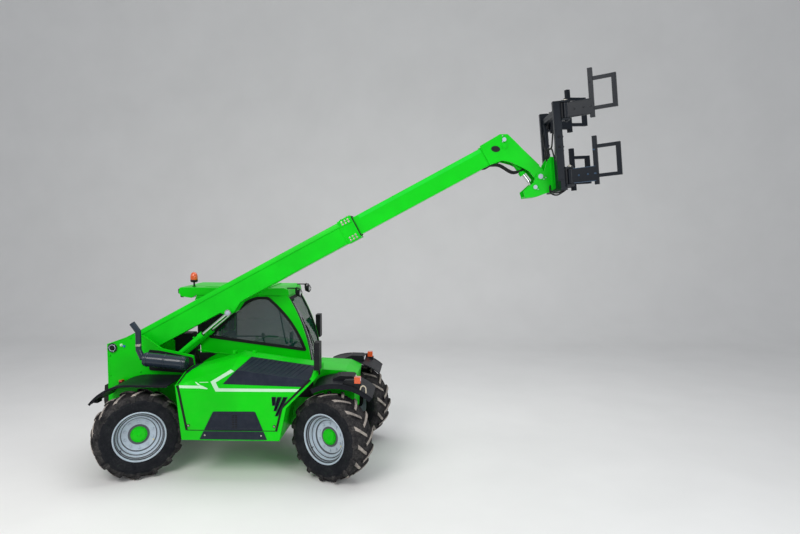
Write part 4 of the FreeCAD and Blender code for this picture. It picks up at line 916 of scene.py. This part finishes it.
def lamps():
    lens = Shape()
    body = Shape()
    z = ROOF_TOP - 0.090
    for y in (CAB_RIGHT + 0.090, CAB_LEFT - 0.090):
        face = MID + 0.640 + 0.066
        turn = Matrix.Translation((face, y, z)) @ Matrix.Rotation(radians(90), 4, "Z")
        lens.lathe([(0, -0.008), (0.020, -0.007), (0.040, -0.004), (0.054, 0.0)], 0, 40, turn)
        body.lathe([(0.052, -0.003), (0.058, -0.006), (0.065, -0.004), (0.065, 0.006), (0.060, 0.008)], 0, 40, turn)
        for angle in (-50, 0, 50):
            a = radians(angle)
            body.tube([Vector((face + 0.002, y + 0.064 * sin(a), z - 0.064 * cos(a))),
                       Vector((face + 0.026, y + 0.030 * sin(a), z - 0.030 * cos(a))),
                       Vector((face + 0.030, y, z)), Vector((face + 0.026, y - 0.030 * sin(a), z + 0.030 * cos(a))),
                       Vector((face + 0.002, y - 0.064 * sin(a), z + 0.064 * cos(a)))], 0.0025, 0, 6)
        body.bolt(at(0.655, y, z + 0.083), (0, 0, 1), 0.014)
        back = MID - 1.213
        lens.box((back - 0.004, back + 0.001), (y - 0.038, y + 0.038), (z - 0.004, z + 0.054), 0)
    lens.make("work_lamp_lenses", "chassis", clear_lens)
    body.make("work_lamp_guards", "chassis", black_plastic)

    beacon = Shape()
    base = ROOF_TOP + 0.070
    turn = Matrix.Translation(at(-1.000, 0.300, 0)) @ Matrix.Rotation(radians(90), 4, "X")
    beacon.lathe([(0, ROOF_TOP - 0.0002), (0.030, ROOF_TOP), (0.030, ROOF_TOP + 0.006), (0.014, ROOF_TOP + 0.010),
                  (0.013, base - 0.008), (0.046, base), (0.052, base + 0.004), (0.058, base + 0.030),
                  (0.058, base + 0.036), (0.054, base + 0.038)], 1, 48, turn)
    beacon.lathe([(0.054, base + 0.036), (0.0565, base + 0.044), (0.0565, base + 0.092), (0.052, base + 0.112),
                  (0.042, base + 0.136), (0.030, base + 0.149), (0.014, base + 0.156), (0, base + 0.157)], 0, 48, turn)
    for z in (0.052, 0.066, 0.080):
        beacon.lathe([(0.0562, base + z), (0.0578, base + z + 0.002), (0.0578, base + z + 0.005),
                      (0.0562, base + z + 0.007)], 0, 48, turn)
    beacon.make("beacon_lamp", "chassis", [amber, black_plastic], replaces=["beacon"])

    mirror = Shape()
    for x, y, z in ((1.125, -0.830, 1.700), (0.793, 1.178, 1.810)):
        mirror.box((MID + x - 0.003, MID + x + 0.002), (y - 0.082, y + 0.082), (z - 0.165, z + 0.190))
    mirror.make("mirror_faces", "chassis", mirror_glass, 0.0015)


cab_seals()
cab_trim()
lamps()


# Inside the cab: console with its lever, monitor on a stalk, and a rail on the door

def cab_fittings():
    inside = Shape()
    inside.prism(shifted([(-0.300, 1.340), (-0.300, 1.560), (-0.180, 1.610), (0.200, 1.630), (0.310, 1.560),
                          (0.310, 1.340)]), (CAB_RIGHT + 0.047, CAB_RIGHT + 0.165))
    inside.tube([at(0.120, 0.250, 1.620), at(0.126, 0.250, 1.690), at(0.110, 0.252, 1.745)], 0.012)
    inside.lathe([(0, -0.048), (0.018, -0.046), (0.026, -0.020), (0.030, 0.030), (0.022, 0.048), (0, 0.052)], 1, 24,
                 Matrix.Translation(at(0.106, 0.252, 1.790)) @ Matrix.Rotation(radians(90), 4, "X"))
    for x in (-0.120, -0.060, 0.000):
        inside.rod(at(x, 0.250, 1.610), at(x - 0.01, 0.250, 1.690), 0.008, 0, 16)
        inside.rod(at(x - 0.01, 0.250, 1.688), at(x - 0.013, 0.250, 1.712), 0.015, 1, 20)
    inside.tube([at(0.600, 0.280, 1.380), at(0.600, 0.272, 1.560), at(0.560, 0.262, 1.690)], 0.012)
    inside.box((MID + 0.540, MID + 0.570), (0.200, 0.330), (1.690, 1.860), 0)
    inside.box((MID + 0.5375, MID + 0.541), (0.212, 0.318), (1.704, 1.848), 2)
    inside.tube([at(0.330, 0.985, 1.560), at(0.300, 0.965, 1.580), at(0.205, 0.965, 2.060), at(0.190, 0.985, 2.090)], 0.012)
    inside.make("cab_fittings", "chassis", [black_plastic, cast, screen_glass], 0.002)

    rail = Shape()
    rail.tube([at(-0.540, 1.046, 1.640), at(-0.520, 1.010, 1.650), at(0.100, 1.010, 1.650), at(0.120, 1.046, 1.640)], 0.013)
    rail.make("door_rail", "door", black_plastic)


cab_fittings()


# Boom, in its own axes: s along it and t square to it, both from the pivot

def boom_turn():
    return Matrix.Translation(Vector((PIVOT.x, 0, PIVOT.z))) @ BOOM_TURN


def fold(shape, turn, side, half, s, t, out):
    """Slanted band along a boom section's upper edge: it leans out towards its lower edge."""
    wall = BOOM_Y + side * (half - 0.001)
    edge = BOOM_Y + side * (half + out)
    section = [(wall, t[1]), (edge, t[0] + 0.004), (edge, t[0]), (wall, t[0])]
    rows = [[turn @ Vector((x, y, h)) for y, h in section] for x in s]
    shape.loft(rows)


def boom_details():
    turn = boom_turn()
    half = OUTER_WIDTH / 2
    low = OUTER_TOP - OUTER_DEPTH
    start, end = 0.160, OUTER_LENGTH - 0.212

    upper = Shape()
    for side in (-1, 1):
        fold(upper, turn, side, half, (start, end), (OUTER_TOP - 0.070, OUTER_TOP - 0.001), 0.011)
        y = sorted((BOOM_Y + side * (half - 0.002), BOOM_Y + side * (half + 0.0035)))
        upper.box((2.05, end), y, (low + 0.006, low + 0.020), 0, turn)
    upper.make("boom_folds", "boom", boom_green)

    seam = Shape()
    for side in (-1, 1):
        y = sorted((BOOM_Y + side * (half - 0.001), BOOM_Y + side * (half + 0.0045)))
        seam.box((0.070, 0.420), y, (OUTER_TOP - 0.010, OUTER_TOP - 0.004), 0, turn)
        for s in (0.47, 0.55):
            seam.box((s, s + 0.006), y, (low + 0.030, OUTER_TOP - 0.070), 0, turn)
    seam.make("boom_welds", "boom", boom_green, 0.002)

    collar = Shape()
    face = half + 0.012
    s0, s1 = OUTER_LENGTH - 0.210, OUTER_LENGTH
    for side in (-1, 1):
        inner, outer = BOOM_Y + side * face, BOOM_Y + side * (face + 0.010)
        y = sorted((inner - side * 0.004, outer))
        for t0, t1 in ((OUTER_TOP - 0.085, OUTER_TOP + 0.004), (low - 0.004, low + 0.090)):
            collar.box((s0 + 0.020, s1 - 0.016), y, (t0, t1), 0, turn)
            for s in (s0 + 0.055, s0 + 0.105, s0 + 0.155):
                for t in (t0 + 0.026, t1 - 0.026):
                    place = turn @ Vector((s, outer, t))
                    collar.bolt(place, (0, side, 0), 0.020, 1)
        collar.box((s0 - 0.010, s0 + 0.004), sorted((BOOM_Y + side * (half - 0.004), BOOM_Y + side * (face + 0.003))),
                   (low - 0.010, OUTER_TOP + 0.010), 0, turn)
    top = OUTER_TOP + 0.012
    collar.box((s0 + 0.020, s1 - 0.016), (BOOM_Y - 0.110, BOOM_Y + 0.110), (top - 0.004, top + 0.012), 0, turn)
    up = BOOM_TURN.to_3x3() @ Z
    for s in (s0 + 0.055, s0 + 0.155):
        for y in (-0.085, 0.0, 0.085):
            collar.bolt(turn @ Vector((s, BOOM_Y + y, top + 0.012)), up, 0.020, 1)
    collar.make("collar_plates", "boom", [boom_green, zinc], 0.002)

    lip = Shape()
    for side in (-1, 1):
        y = sorted((BOOM_Y + side * (INNER_WIDTH / 2 + 0.001), BOOM_Y + side * (half + 0.004)))
        lip.box((s1 - 0.004, s1 + 0.014), y, (low + 0.020, OUTER_TOP - 0.020), 0, turn)
    lip.box((s1 - 0.004, s1 + 0.014), (BOOM_Y - 0.110, BOOM_Y + 0.110), (INNER_TOP + 0.001, INNER_TOP + 0.030), 0, turn)
    lip.make("collar_pads", "boom", black_plastic, 0.003)

    hoses = Shape()
    for offset in (-0.030, 0.0, 0.030):
        path = [turn @ Vector((s, BOOM_Y + offset, t)) for s, t in
                ((0.15, -0.16), (-0.02, -0.19), (-0.10, -0.26), (-0.08, -0.42), (0.10, -0.62))]
        hoses.tube(path, 0.013)
    hoses.make("pivot_hoses", "boom", hose_rubber)


def inner_details():
    turn = boom_turn()
    half = INNER_WIDTH / 2
    low = INNER_TOP - INNER_DEPTH
    s0, s1 = OUTER_LENGTH + 0.10, NOSE_START - 0.02
    # Flat strip of lighter green along each upper edge of the inner boom, flush with its side: painted highlight where
    # a fold would catch the light.
    highlight_strips = Shape()
    for side in (-1, 1):
        y = sorted((BOOM_Y + side * (half - 0.002), BOOM_Y + side * (half + 0.0002)))
        highlight_strips.box((s0, s1), y, (INNER_TOP - 0.060, INNER_TOP - 0.006), 0, turn)
    highlight_strips.make("inner_boom_fold_highlights", "boom_extension", fold_highlight_paint)

    nose = Shape()
    out = half + 0.024
    for side in (-1, 1):
        face = BOOM_Y + side * out
        for s, t, radius, slot in ((NOSE_START + 0.350, -0.040, 0.030, 0), (TILT_TOP[0], TILT_TOP[1], 0.034, 1)):
            place = turn @ Vector((s, face, t))
            nose.rod(place - Y * side * 0.004, place + Y * side * 0.008, radius * 1.5, 1, 32)
            nose.rod(place, place + Y * side * 0.018, radius, slot, 32)
            nose.bolt(turn @ Vector((s + 0.002, face + side * 0.008, t + radius * 1.9)), (0, side, 0), 0.012, 0)
        place = turn @ Vector((NECK_PIN[0], face, NECK_PIN[1]))
        nose.rod(place - Y * side * 0.004, place + Y * side * 0.0045, 0.060, 1, 40)
        nose.rod(place, place + Y * side * 0.0048, 0.031, 0, 32)
        # Black oval on each face of the nose: painted shade where the real plate has an opening between the upper link
        # and the tilt cylinder.
        s, t, lean = NOSE_START + 0.180, -0.100, radians(-36)
        opening_shade = []
        for i in range(28):
            a = 2 * pi * i / 28
            p, q = 0.066 * cos(a), 0.044 * sin(a)
            opening_shade.append((s + p * cos(lean) - q * sin(lean), t + p * sin(lean) + q * cos(lean)))
        nose.prism(opening_shade, (face - side * 0.001, face + side * 0.002), 2, turn)
    nose.make("nose_pins_and_opening_shade", "boom_extension", [silver, boom_green, black_plastic], 0.001)

    hoses = Shape()
    for offset, drop in ((-0.050, 0.0), (-0.020, 0.014), (0.020, 0.006), (0.050, 0.02)):
        y = BOOM_Y + offset
        path = [boom_point(NOSE_START + 0.02, low - 0.006, y), boom_point(NOSE_START + 0.14, low - 0.060 - drop, y),
                boom_point(NOSE_START + 0.26, low - 0.240 - drop, y), boom_point(NECK_PIN[0] - 0.14, NECK_PIN[1] + 0.20, y)]
        hoses.tube(path, 0.012)
    for side in (-1, 1):
        y = BOOM_Y + side * 0.06
        path = [boom_point(NOSE_START - 0.11, low + 0.006, y), boom_point(NOSE_START - 0.06, low - 0.012, y),
                boom_point(NOSE_START + 0.02, low - 0.010, y)]
        hoses.tube(path, 0.008)
    hoses.make("neck_hoses", "boom_extension", hose_rubber)


def pivot_details():
    cap = Shape()
    for side, face in ((-1, -0.4215), (1, 0.1815)):
        place = Vector((PIVOT.x, face, PIVOT.z))
        cap.rod(place - Y * side * 0.004, place + Y * side * 0.004, 0.068, 0, 48)
        turn = Matrix.Translation(place) @ Matrix.Rotation(0 if side < 0 else pi, 4, "Z")
        cap.lathe([(0.050, -0.004), (0.050, -0.009), (0.046, -0.011), (0.042, -0.009), (0.042, -0.004)], 1, 48, turn)
        cap.lathe([(0, -0.012), (0.020, -0.012), (0.024, -0.009), (0.024, -0.004)], 0, 32, turn)
        for angle in (40, 160, 280):
            a = radians(angle)
            cap.bolt(place + Vector((0.058 * sin(a), side * 0.004, 0.058 * cos(a))), (0, side, 0), 0.011, 1, False)
    cap.make("pivot_caps", "chassis", [black_plastic, silver], 0.0008)

    fittings = Shape()
    face = -0.400
    for x, z, radius, slot in ((-1.842, 1.755, 0.013, 0), (-1.800, 1.738, 0.010, 1)):
        fittings.rod(at(x, face + 0.002, z), at(x, face - 0.022, z), radius, slot, 20)
        fittings.bolt(at(x, face - 0.002, z), (0, -1, 0), radius * 2.2, slot)
    for x, z in ((-2.020, 1.600), (-2.020, 1.300), (-1.700, 1.860), (-1.560, 1.600), (-1.560, 1.360)):
        fittings.bolt(at(x, face, z), (0, -1, 0), 0.022, 2)
    fittings.make("tower_fittings", "chassis", [white_stripe, blue_fitting, green], 0.0008)

    edge = Shape()
    strip(edge, shifted([(-2.050, 1.180), (-2.052, 1.762), (-1.658, 1.903), (-1.502, 1.886), (-1.236, 1.700)]), 0.014,
          (face - 0.003, face + 0.004))
    edge.make("tower_edge", "chassis", green, 0.002)


def lift_details():
    caps = Shape()
    base = Vector((MID - WHEELBASE / 2 - 0.050, 0, 1.211))
    for side in (-1, 1):
        y = BOOM_Y + side * (OUTER_WIDTH / 2 + 0.050)
        end = boom_point(*LIFT_EYE, y)
        start = Vector((base.x, y, base.z))
        along = (end - start).normalized()
        for distance, radius, slot in ((1.030, 0.051, 0), (1.082, 0.050, 0), (1.093, 0.030, 1)):
            caps.rod(start + along * (distance - 0.006), start + along * (distance + 0.006), radius, slot, 48)
        for distance in (0.20, 0.95):
            up = along.cross(Y).normalized() * (-1 if along.cross(Y).z < 0 else 1)
            root = start + along * distance + up * 0.036
            caps.rod(root, root + up * 0.026, 0.011, 0, 16)
            caps.bolt(root + up * 0.012, up, 0.026, 0, False)
    caps.make("lift_glands", "lift_barrels", [boom_green, seal_rubber], 0.001)
    eyes = Shape()
    for side in (-1, 1):
        y = BOOM_Y + side * (OUTER_WIDTH / 2 + 0.050 + 0.024)
        eye = boom_point(*LIFT_EYE, y)
        eyes.rod(eye - Y * side * 0.003, eye + Y * side * 0.008, 0.030, 0, 32)
        eyes.bolt(eye + Y * side * 0.008, (0, side, 0), 0.022, 0)
    eyes.make("lift_pins", "lift_rods", silver, 0.001)


LIFT_EYE = (1.753, OUTER_TOP - OUTER_DEPTH - 0.058)
boom_details()
inner_details()
pivot_details()
lift_details()


# Carriage and clamp, in the carriage's own axes: u forward and w up, both from the carriage pin

def carriage_turn():
    return Matrix.Translation(Vector((CARRIAGE_PIN.x, 0, CARRIAGE_PIN.z))) @ CARRIAGE_TURN


def carriage_details():
    turn = carriage_turn()
    reach = INNER_WIDTH / 2 + 0.024 + 0.005 + 0.025
    pins = Shape()
    for side in (-1, 1):
        face = BOOM_Y + side * reach
        for u, w, radius, slot in ((0.0, 0.0, 0.036, 0), (-0.085, -0.145, 0.030, 0), (0.060, -0.010, 0.010, 1)):
            place = turn @ Vector((u, face, w))
            pins.rod(place - Y * side * 0.003, place + Y * side * 0.007, radius * 1.5, 1, 36)
            pins.rod(place, place + Y * side * 0.016, radius, slot, 36)
            pins.bolt(turn @ Vector((u + radius * 1.2, face + side * 0.006, w - radius * 1.2)), (0, side, 0), 0.012, 0)
    pins.make("carriage_pins", "carriage", [silver, boom_green], 0.001)

    ribs = Shape()
    for side in (-1, 1):
        y = sorted((BOOM_Y + side * (reach - 0.002), BOOM_Y + side * (reach + 0.007)))
        ribs.box((0.150, 0.180), y, (-0.180, 0.250), 0, turn)
    ribs.make("carriage_ribs", "carriage", boom_green, 0.002)

    frame_bits = Shape()
    half = POST_SIZE / 2
    for side in (-1, 1):
        middle = BOOM_Y + side * POST_SIDE
        for w in (-0.095, 0.30, 0.58, 0.965):
            frame_bits.box((POST_U - half - 0.003, POST_U + half + 0.003), (middle - 0.043, middle + 0.043),
                           (w, w + 0.010), 0, turn)
        for w in (0.36, 0.50):
            place = turn @ Vector((POST_U, middle + side * 0.040, w))
            frame_bits.bolt(place, (0, side, 0), 0.024, 2)
            place = turn @ Vector((POST_U + half, middle, w))
            frame_bits.bolt(place, CARRIAGE_TURN.to_3x3() @ X, 0.024, 2)
        for tier in TIERS.values():
            y = sorted((BOOM_Y + side * (ARM_SIDE - 0.038), BOOM_Y + side * (ARM_SIDE + 0.036)))
            frame_bits.box((POST_U + half - 0.002, POST_U + half + 0.020), y, (tier - 0.100, tier + 0.100), 2, turn)
            place = turn @ Vector((ARM_PIN_U, BOOM_Y + side * ARM_SIDE, tier + 0.102 + 0.032))
            up = CARRIAGE_TURN.to_3x3() @ Z
            frame_bits.rod(place, place + up * 0.012, 0.032, 1, 32)
            frame_bits.bolt(place + up * 0.012, up, 0.026, 1)
    for y in (-0.20, -0.07, 0.07, 0.20):
        for w in (-0.10, 0.20):
            place = turn @ Vector((FACE_U + 0.026, BOOM_Y + y, w))
            frame_bits.bolt(place, CARRIAGE_TURN.to_3x3() @ X, 0.028, 1)
    frame_bits.make("clamp_bands", "carriage", [clamp_paint, zinc, black_plastic], 0.0015)

    hoses = Shape()
    for number, (side, tier, bend) in enumerate(((-1, "upper", 0.10), (-1, "lower", 0.06),
                                                 (1, "upper", 0.12), (1, "lower", 0.05))):
        w = TIERS[tier]
        y = BOOM_Y + side * (0.05 + 0.03 * number)
        path = [turn @ Vector(p) for p in ((0.165, BOOM_Y + side * 0.10, 0.230), (0.150, y, 0.290 + bend),
                                           (0.175, BOOM_Y + side * 0.22, 0.340 + bend * 0.5),
                                           (0.190, BOOM_Y + side * 0.36, (w + 0.40) / 2),
                                           (0.300, BOOM_Y + side * 0.380, w + 0.02))]
        hoses.tube(path, 0.011)
    for bend in (0.0, 0.03):
        path = [turn @ Vector(p) for p in ((0.130, BOOM_Y - 0.16, -0.130), (0.110, BOOM_Y - 0.24, -0.215 - bend),
                                           (0.18, BOOM_Y - 0.34, -0.262 - bend), (0.29, BOOM_Y - 0.40, -0.235))]
        hoses.tube(path, 0.011)
    hoses.make("clamp_hoses", "carriage", hose_rubber)

    cylinder = Shape()
    for side in (-1, 1):
        start = turn @ Vector((POST_U + 0.10, BOOM_Y + side * 0.060, -0.175))
        end = turn @ Vector((POST_U + 0.10, BOOM_Y + side * 0.395, -0.175))
        along = (end - start).normalized()
        cylinder.rod(start, start + along * 0.190, 0.033, 0, 32)
        cylinder.rod(start + along * 0.176, start + along * 0.206, 0.038, 0, 32)
        cylinder.rod(start + along * 0.190, end, 0.016, 1, 24)
        cylinder.rod(start - Z * 0.036, start + Z * 0.036, 0.026, 0, 24)
    cylinder.make("clamp_cylinders", "carriage", [clamp_paint, chrome], 0.001)


def arm_details():
    for tier, middle in TIERS.items():
        for name, side in (("right", -1), ("left", 1)):
            base = (carriage_turn() @ Matrix.Translation((ARM_PIN_U, BOOM_Y + side * ARM_SIDE, middle))
                    @ Matrix.Rotation(side * ARM_SPLAY, 4, "Z"))
            bits = Shape()
            half = 0.102
            for w in (-half, half - 0.008):
                bits.box((0.046, 0.345), (-0.034, 0.034), (w, w + 0.008), 0, base)
            for x in (0.12, 0.24):
                place = base @ Vector((x, side * 0.030, 0.0))
                out = base.to_3x3() @ Vector((0, side, 0))
                bits.bolt(place, out, 0.018, 0)
            for w in (0.0, 0.32):
                bits.box((0.322, 0.352), (-0.036, 0.036), (w - 0.010, w + 0.010), 0, base)
            bits.make(f"arm_bands_{tier}_{name}", f"clamp_arm_{tier}_{name}",
                      [clamp_grey if (tier, name) == ("lower", "right") else clamp_paint, zinc], 0.0015)


POST_SIZE, POST_U, POST_SIDE, FACE_U = 0.105, 0.228, 0.450, 0.205
carriage_details()
arm_details()


# Fenders, their lamps, and what shows under the frame

def fender_details():
    edge = Shape()
    for end, radius, span in ((1, 0.760, (48, 116)), (-1, 0.715, (90, 142))):
        for side in (-1, 1):
            middle = end * WHEELBASE / 2
            rows = []
            steps = 24
            for i in range(steps + 1):
                a = radians(span[0] + (span[1] - span[0]) * i / steps)
                c, s = cos(a), sin(a)
                row = []
                for r, y in ((radius - 0.004, 1.052), (radius + 0.004, 1.050), (radius + 0.008, 1.056),
                             (radius + 0.006, 1.064), (radius - 0.006, 1.066), (radius - 0.008, 1.058)):
                    row.append(at(middle + r * c, side * y, TYRE_RADIUS + r * s))
                rows.append(row)
            if end < 0:
                far = [p + X * 0.545 for p in rows[0]]
                rows.insert(0, far)
            edge.sheet(rows, 0, True)
    edge.make("fender_lips", "chassis", fender_plastic)

    lamp = Shape()
    for side in (-1, 1):
        y = side * 1.040
        near, far = y - side * 0.100, y
        lift = -0.050 if side > 0 else 0.0
        lamp.prism(shifted([(1.530, 1.360 + lift), (1.560, 1.412 + lift), (1.694, 1.420 + lift), (1.694, 1.310 + lift)]),
                   sorted((near, far - side * 0.006)), 1)
        lamp.box((MID + 1.694, MID + 1.778), sorted((near + side * 0.010, far)), (1.372 + lift, 1.458 + lift), 0)
        lamp.prism(shifted([(1.690, 1.300 + lift), (1.690, 1.374 + lift), (1.790, 1.374 + lift), (1.790, 1.268 + lift)]), sorted((near, far)), 1)
        lamp.box((MID - 1.852, MID - 1.792), sorted((side * 0.425, side * 0.495)), (1.180, 1.226), 1)
        lamp.box((MID - 1.846, MID - 1.798), sorted((side * 0.430, side * 0.500)), (1.222, 1.252), 2)
        rear = MID - 1.985
        lamp.box((rear, rear + 0.050), sorted((side * 0.80, side * 0.92)), (1.030, 1.080), 1)
        lamp.box((rear - 0.010, rear + 0.004), sorted((side * 0.805, side * 0.860)), (1.035, 1.075), 2)
        lamp.box((rear - 0.010, rear + 0.004), sorted((side * 0.865, side * 0.915)), (1.035, 1.075), 0)
    lamp.make("fender_lamps", "chassis", [amber, black_plastic, red_lens], 0.003)

    loop = Shape()
    y = -1.045
    loop.tube([at(1.775, y, 1.285), at(1.790, y, 1.330), at(1.820, y, 1.345), at(1.850, y, 1.318), at(1.856, y, 1.245)],
              0.008)
    loop.make("fender_loop", "chassis", cream)


def head_lamp_faces():
    lens_part = Shape()
    for side in (-1, 1):
        face = MID + WHEELBASE / 2 + 0.240
        for y in (0.62, 0.755):
            turn = Matrix.Translation((face + 0.003, side * y, 1.368)) @ Matrix.Rotation(radians(90), 4, "Z")
            lens_part.lathe([(0, -0.010), (0.016, -0.009), (0.028, -0.003), (0.030, 0.004)], 0, 32, turn)
    lens_part.make("head_lamp_lenses", "chassis", clear_lens)


def underframe_details():
    bits = Shape()
    for x in (-0.50, 0.10, 0.48):
        bits.rod(at(x, -0.36, 0.660), at(x, 0.36, 0.660), 0.018, 0, 20)
    shaft = Shape()
    shaft.rod(at(-1.18, 0.0, 0.640), at(1.18, 0.0, 0.640), 0.042, 0, 28)
    for x in (-1.16, -0.10, 1.12):
        shaft.rod(at(x, 0, 0.640), at(x + 0.05, 0, 0.640), 0.060, 0, 28)
    shaft.make("drive_shaft", "chassis", frame_black, 0.001)
    bits.make("belly_pipes", "chassis", frame_black, 0.001)

    steer = Shape()
    for end in (-1, 1):
        x = end * (WHEELBASE / 2) - end * 0.165
        steer.rod(at(x, -0.30, TYRE_RADIUS), at(x, 0.30, TYRE_RADIUS), 0.036, 0, 28)
        for side in (-1, 1):
            steer.rod(at(x, side * 0.30, TYRE_RADIUS), at(x, side * 0.50, TYRE_RADIUS), 0.017, 1, 20)
    steer.make("steering_rams", "chassis", [frame_black, chrome], 0.001)


fender_details()
head_lamp_faces()
underframe_details()


# Materials of the CAD nodes that show as they are

dress(green, "frame", "front_frame", "cab_roof", "cab_shell", "cab_door", "engine_bay")
dress(boom_green, "boom_outer", "boom_inner", "carriage")
dress(muffler_paint, "muffler", "exhaust_pipe")
dress(frame_black, "axle_front", "axle_rear", "hydraulic_tank", "counterweight", "rear_tank",
      *[f"knuckle_{corner}" for corner in CORNERS])
dress(clamp_paint, "clamp_frame", *[f"clamp_arm_{tier}_{side}" for tier in TIERS for side in ("left", "right")])
dress(cast, "engine")
dress(green, "engine_hood")
dress(hood_plastic, "hood_cover")
dress(black_plastic, "controls", "mirrors", "boom_pads", "work_lamps", "head_lamps")
dress(fender_plastic, "fenders_front", "fenders_rear")
dress(seat_cloth, "seat")
dress(amber, "beacon")
dress(glass, "cab_glass", "door_glass")
dress(chrome, "lift_rods", "tilt_rod")
dress(boom_green, "lift_barrels", "tilt_barrel")
dress(steel, "boom_pivot")


# Floor, backdrop and lights

def stage_material():
    m = Nodes("floor", (0.80, 0.80, 0.79), 0.85)
    m.color(m.mix(m.noise(0.8, 4), (0.76, 0.76, 0.75), (0.84, 0.84, 0.83)))
    return m.material


def make_stage():
    """Floor that sweeps up into a pale backdrop behind the machine."""
    rows = []
    for y, z in [(-14, 0), (0, 0), (9, 0)] + [(9 + 3 * sin(a), 3 - 3 * cos(a)) for a in
                                            (radians(d) for d in range(10, 91, 10))] + [(12, 12)]:
        rows.append([(-16, y, z), (16, y, z)])
    verts = [v for row in rows for v in row]
    faces = [(2 * i, 2 * i + 1, 2 * i + 3, 2 * i + 2) for i in range(len(rows) - 1)]
    mesh = bpy.data.meshes.new("floor")
    mesh.from_pydata(verts, [], faces)
    mesh.materials.append(stage_material())
    mesh.polygons.foreach_set("use_smooth", [True] * len(faces))
    floor = bpy.data.objects.new("floor", mesh)
    bpy.context.scene.collection.objects.link(floor)


def light(name, place, target, size, power, color=(1, 1, 1)):
    data = bpy.data.lights.new(name, "AREA")
    data.shape, data.size, data.size_y = "RECTANGLE", size[0], size[1]
    data.energy, data.color = power, color
    lamp = bpy.data.objects.new(name, data)
    lamp.location = place
    lamp.rotation_euler = (Vector(target) - Vector(place)).to_track_quat("-Z", "Y").to_euler()
    bpy.context.scene.collection.objects.link(lamp)


def make_lights():
    light("key", (-3.5, -7.5, 7.5), (-0.5, 0, 1.5), (5, 4), 500, (1.0, 0.98, 0.95))
    light("fill", (6.5, -7.0, 4.5), (0.5, 0, 1.8), (4, 4), 230, (0.95, 0.98, 1.0))
    light("top", (0, 1.0, 9.5), (0, 0, 1), (9, 6), 330)
    world = bpy.data.worlds.new("studio")
    bpy.context.scene.world = world
    world.use_nodes = True
    tree = world.node_tree
    sky = tree.nodes["Background"]
    sky.inputs["Color"].default_value = (0.93, 0.95, 1.0, 1)
    sky.inputs["Strength"].default_value = 0.45


make_stage()
make_lights()
bpy.context.scene.view_settings.view_transform = "Standard"
